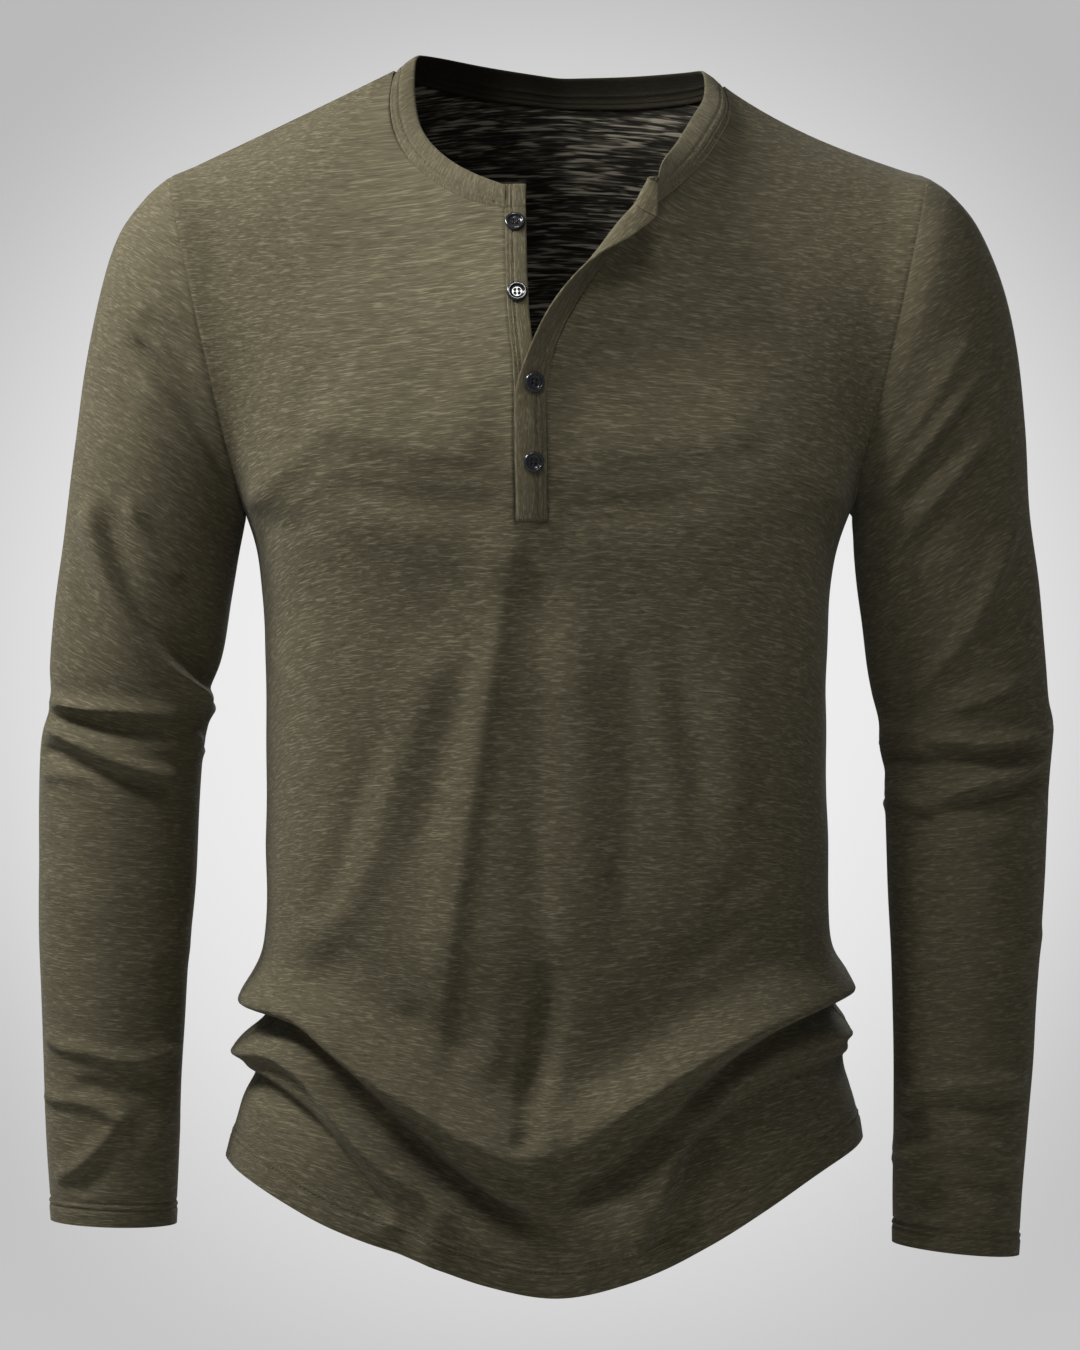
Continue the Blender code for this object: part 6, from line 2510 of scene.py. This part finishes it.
@dataclass
class Button:
    """A dished four-hole button with a raised rim, sewn on with dark thread."""

    number: int
    side: Side
    share: float
    form: WornForm
    radius: float = 5.9
    height: float = 2.6
    hole_radius: float = 0.62
    hole_place: float = 1.15
    hole_depth: float = 0.95
    hole_edge: Pair = (0.12, -0.16)
    dish_share: float = 0.50
    dish_height: float = 1.12
    dish_rings: int = 16
    dish_levels: Pair = (0.9, 1.4)
    segments: int = 48
    sharp_angle: float = 60.0
    thread_radius: float = 0.33
    thread_sides: int = 6
    thread_steps: int = 9
    thread_start: float = 0.55
    thread_arch: float = 0.85
    reach: float = 0.03

    def _stand(self) -> tuple[Array, Array, Array, Array]:
        """Return the button's middle and its right, up and outward directions.

        Returns:
            The middle and the three directions.
        """
        seam, free = (self.form.placket_edge(self.side, np.array([self.share]), key)[0]
                      for key in ("seam", "free"))
        low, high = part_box(f"button_{self.number}")
        packed = (np.array(low) + np.array(high)) / (2 * MM)
        around = np.array([self.share - self.reach, self.share + self.reach])
        ends = self.form.placket_edge(self.side, around, "crest")
        up = unit(ends[1] - ends[0])
        out = unit(np.cross(-self.side.value * (free - seam), up))
        return packed - out * self.height / 2, np.cross(up, out), up, out

    def _profile(self) -> list[Pair]:
        """Return the turned outline as radius and height, from the back's middle outwards.

        Returns:
            The outline's corners.
        """
        rim = [(point.share * self.radius, point.height) for point in BUTTON_RIM]
        dish = np.linspace(self.dish_share * self.radius, 0.0, self.dish_rings)
        return rim + [(radius, self.dish_height) for radius in dish]

    def _sunk(self, x: float, y: float, height: float) -> float:
        """Return the height at a place of the outline, lower inside a hole.

        Args:
            x: Place to the right of the middle.
            y: Place above the middle.
            height: The turned outline's height there.

        Returns:
            The height.
        """
        if not self.dish_levels[0] < height < self.dish_levels[1]:
            return height
        near = math.hypot(abs(x) - self.hole_place, abs(y) - self.hole_place)
        wide, narrow = (self.hole_radius + edge for edge in self.hole_edge)
        return height - self.hole_depth * float(ramp(wide, narrow, near))

    def make(self, wardrobe: Wardrobe) -> Object:
        """Make the button with its holes and thread.

        Args:
            wardrobe: The finishes.

        Returns:
            The button.
        """
        centre, right, up, out = self._stand()
        turns = 2 * np.pi * np.arange(self.segments) / self.segments
        points: list[Array] = []
        rings: list[list[int]] = []
        for radius, height in self._profile():
            ring = []
            for turn in (turns if radius > 1e-6 else turns[:1]):
                x, y = radius * math.cos(turn), radius * math.sin(turn)
                ring.append(len(points))
                points.append(centre + right * x + up * y + out * self._sunk(x, y, height))
            rings.append(ring)
        faces: list[tuple[int, ...]] = []
        for low, high in zip(rings[:-1], rings[1:]):
            for k in range(self.segments):
                n = (k + 1) % self.segments
                if len(low) == 1:
                    faces.append((low[0], high[n], high[k]))
                elif len(high) == 1:
                    faces.append((low[k], low[n], high[0]))
                else:
                    faces.append((low[k], low[n], high[n], high[k]))
        resin_faces = len(faces)
        for sign in (-1, 1):
            self._strand(points, faces, sign, centre, right, up, out)
        mesh = bpy.data.meshes.new(f"sewn_button_{self.number}")
        mesh.from_pydata((np.array(points) * MM).tolist(), [], faces)
        mesh.materials.append(wardrobe.resin)
        mesh.materials.append(wardrobe.dark_thread)
        slots = np.zeros(len(faces), dtype=np.int32)
        slots[resin_faces:] = 1
        mesh.polygons.foreach_set("material_index", slots)
        mesh.shade_smooth()
        mesh.set_sharp_from_angle(angle=math.radians(self.sharp_angle))
        piece = placed(mesh.name, mesh)
        dress(piece, "button", f"button_{self.number}")
        return piece

    def _strand(self, points: list[Array], faces: list[tuple[int, ...]], sign: int,
                centre: Array, right: Array, up: Array, out: Array) -> None:
        """Add one bar of thread from a hole to the one above it.

        Args:
            points: The button's points so far.
            faces: The button's faces so far.
            sign: -1 for the left pair of holes and 1 for the right pair.
            centre: The button's middle.
            right: Its right direction.
            up: Its up direction.
            out: Its outward direction.
        """
        sides, steps, radius = self.thread_sides, self.thread_steps, self.thread_radius
        first = len(points)
        for k in range(steps):
            turn = math.pi * k / (steps - 1)
            y = -self.hole_place * math.cos(turn)
            rise = self.thread_start + self.thread_arch * math.sin(turn) ** 0.6
            spine = centre + right * sign * self.hole_place + up * y + out * rise
            for j in range(sides):
                a = 2 * math.pi * j / sides
                points.append(spine + right * radius * math.cos(a) + (
                    out * math.sin(turn) - up * math.cos(turn)) * radius * math.sin(a))
        for k in range(steps - 1):
            for j in range(sides):
                n = (j + 1) % sides
                a = first + k * sides
                faces.append((a + j, a + sides + j, a + sides + n, a + n))
        faces.append(tuple(first + j for j in range(sides)))
        last = first + (steps - 1) * sides
        faces.append(tuple(last + j for j in reversed(range(sides))))


# ---------------------------------------------------------------- studio
@dataclass(frozen=True)
class Lamp:
    """One soft light that looks at the shirt."""

    name: str
    place: Point
    power: float
    size: float
    colour: Colour = (1.0, 1.0, 1.0)
    aim: Point = (-0.02, -0.08, -0.17)
    cone: float | None = None


@dataclass
class Studio:
    """Camera, lights, floor and the pale surroundings."""

    target: Point = (-0.0116, 0.0, -0.3567)
    distance: float = 2.8
    metres_per_pixel: float = 0.58e-3
    picture_height: int = 1350
    sensor: float = 24.0
    floor_level: float = -1.47
    floor_half: float = 4.0
    glow_reach: float = 0.027
    glow_shade: float = 0.86
    edge_shade: float = 0.49
    low_edge_gain: float = 0.075
    low_edge_from: Pair = (0.06, 0.14)
    soft_light: float = 0.185
    soft_light_change: float = 0.04
    lamps: tuple[Lamp, ...] = (
        Lamp("key_light", (-0.683, -0.463, 0.473), 6.6, 0.28, (1.0, 0.99, 0.96)),
        Lamp("side_light", (-1.197, -0.183, 0.754), 15.8, 0.37, (1.0, 0.99, 0.97)),
        Lamp("chest_light", (0.100, -1.016, 0.719), 20.0, 0.14, (1.0, 0.99, 0.97),
             (0.045, -0.10, -0.19), 20.0),
        Lamp("right_light", (0.300, -1.050, 0.600), 9.0, 0.14, (1.0, 0.99, 0.97),
             (0.100, -0.09, -0.16), 12.0),
        Lamp("front_card", (0.25, -2.75, 0.35), 0.6, 0.25),
        Lamp("back_card", (0.45, 2.30, 0.75), 22.0, 0.90),
    )

    def camera(self) -> None:
        """Make the camera, level with the chest and square to the shirt."""
        data = bpy.data.cameras.new("camera")
        data.sensor_fit = "VERTICAL"
        data.sensor_height = self.sensor
        data.lens = self.sensor * self.distance / (self.picture_height * self.metres_per_pixel)
        item = placed("camera", data)
        x, y, z = self.target
        item.location = (x, y - self.distance, z)
        item.rotation_euler = (math.pi / 2, 0.0, 0.0)
        bpy.context.scene.camera = item

    def lights(self) -> None:
        """Make the lamps."""
        for lamp in self.lamps:
            data = bpy.data.lights.new(lamp.name, "AREA" if lamp.cone is None else "SPOT")
            data.energy, data.color = lamp.power, lamp.colour
            if lamp.cone is None:
                data.size = lamp.size
            else:
                data.shadow_soft_size, data.spot_blend = lamp.size, 1.0
                data.spot_size = math.radians(lamp.cone)
            item = placed(lamp.name, data)
            item.location = lamp.place
            aim = Vector(lamp.aim) - Vector(lamp.place)
            item.rotation_euler = aim.to_track_quat("-Z", "Y").to_euler()

    def surroundings(self) -> None:
        """Make the world: pale grey, brightest behind the shirt, and a weaker soft light."""
        world = bpy.data.worlds.new("studio")
        bpy.context.scene.world = world
        world.use_nodes = True
        g = Graph(world.node_tree)
        way = g.node("ShaderNodeTexCoord", {}, {})
        parts = g.node("ShaderNodeSeparateXYZ", {}, {0: way.outputs["Generated"]})
        x, z = Number(g, parts.outputs[0]), Number(g, parts.outputs[2])
        glow = (x * x + z * z).step(self.glow_reach, 0.0)
        edge = (z * -1).step(*self.low_edge_from) * self.low_edge_gain + self.edge_shade
        shade = edge + (edge * -1 + self.glow_shade) * glow
        seen = g.node("ShaderNodeBackground", {}, {0: (1.0, 1.0, 1.0, 1.0), 1: shade})
        level = (z - x) * self.soft_light_change + self.soft_light
        lit = g.node("ShaderNodeBackground", {}, {0: (1.0, 1.0, 1.0, 1.0), 1: level})
        ray = g.node("ShaderNodeLightPath", {}, {})
        both = g.node("ShaderNodeMixShader", {}, {0: ray.outputs["Is Camera Ray"],
                                                  1: lit.outputs[0], 2: seen.outputs[0]})
        g.node("ShaderNodeOutputWorld", {}, {0: both.outputs[0]})

    def floor(self) -> None:
        """Make the pale floor, far below the shirt."""
        half = self.floor_half
        corners = [(x * half, y * half, self.floor_level)
                   for x, y in ((-1, -1), (1, -1), (1, 1), (-1, 1))]
        mesh = bpy.data.meshes.new("floor")
        mesh.from_pydata(corners, [], [(0, 1, 2, 3)])
        mesh.materials.append(FloorPaint().material())
        item = placed("floor", mesh)

    def make(self) -> None:
        """Set up the whole studio."""
        self.camera()
        self.lights()
        self.surroundings()
        self.floor()
        bpy.context.scene.view_settings.view_transform = "Standard"


def main() -> None:
    """Build the shirt piece by piece and the studio round it."""
    logging.basicConfig(level=logging.INFO, format="%(name)s %(message)s")
    form = WornForm()
    wardrobe = Wardrobe.stocked()
    Studio().make()
    hems = StitchRow("hem_stitches")
    bands = StitchRow("band_stitches", pitch=2.4, length=1.8, radius=0.28)
    for panel in Panel:
        BodyPanel(panel, form).make(wardrobe, hems)
    for side in Side:
        Sleeve(side, form).make(wardrobe, hems)
    Neckband(form).make(wardrobe, bands)
    for side in Side:
        Placket(side, form).make(wardrobe, bands)
    for row in (hems, bands):
        dress(row.make(wardrobe.thread), "jersey")
    for number, (side, share) in enumerate(BUTTON_PLACES, start=1):
        Button(number, side, share, form).make(wardrobe)


if __name__ == "__main__":
    main()
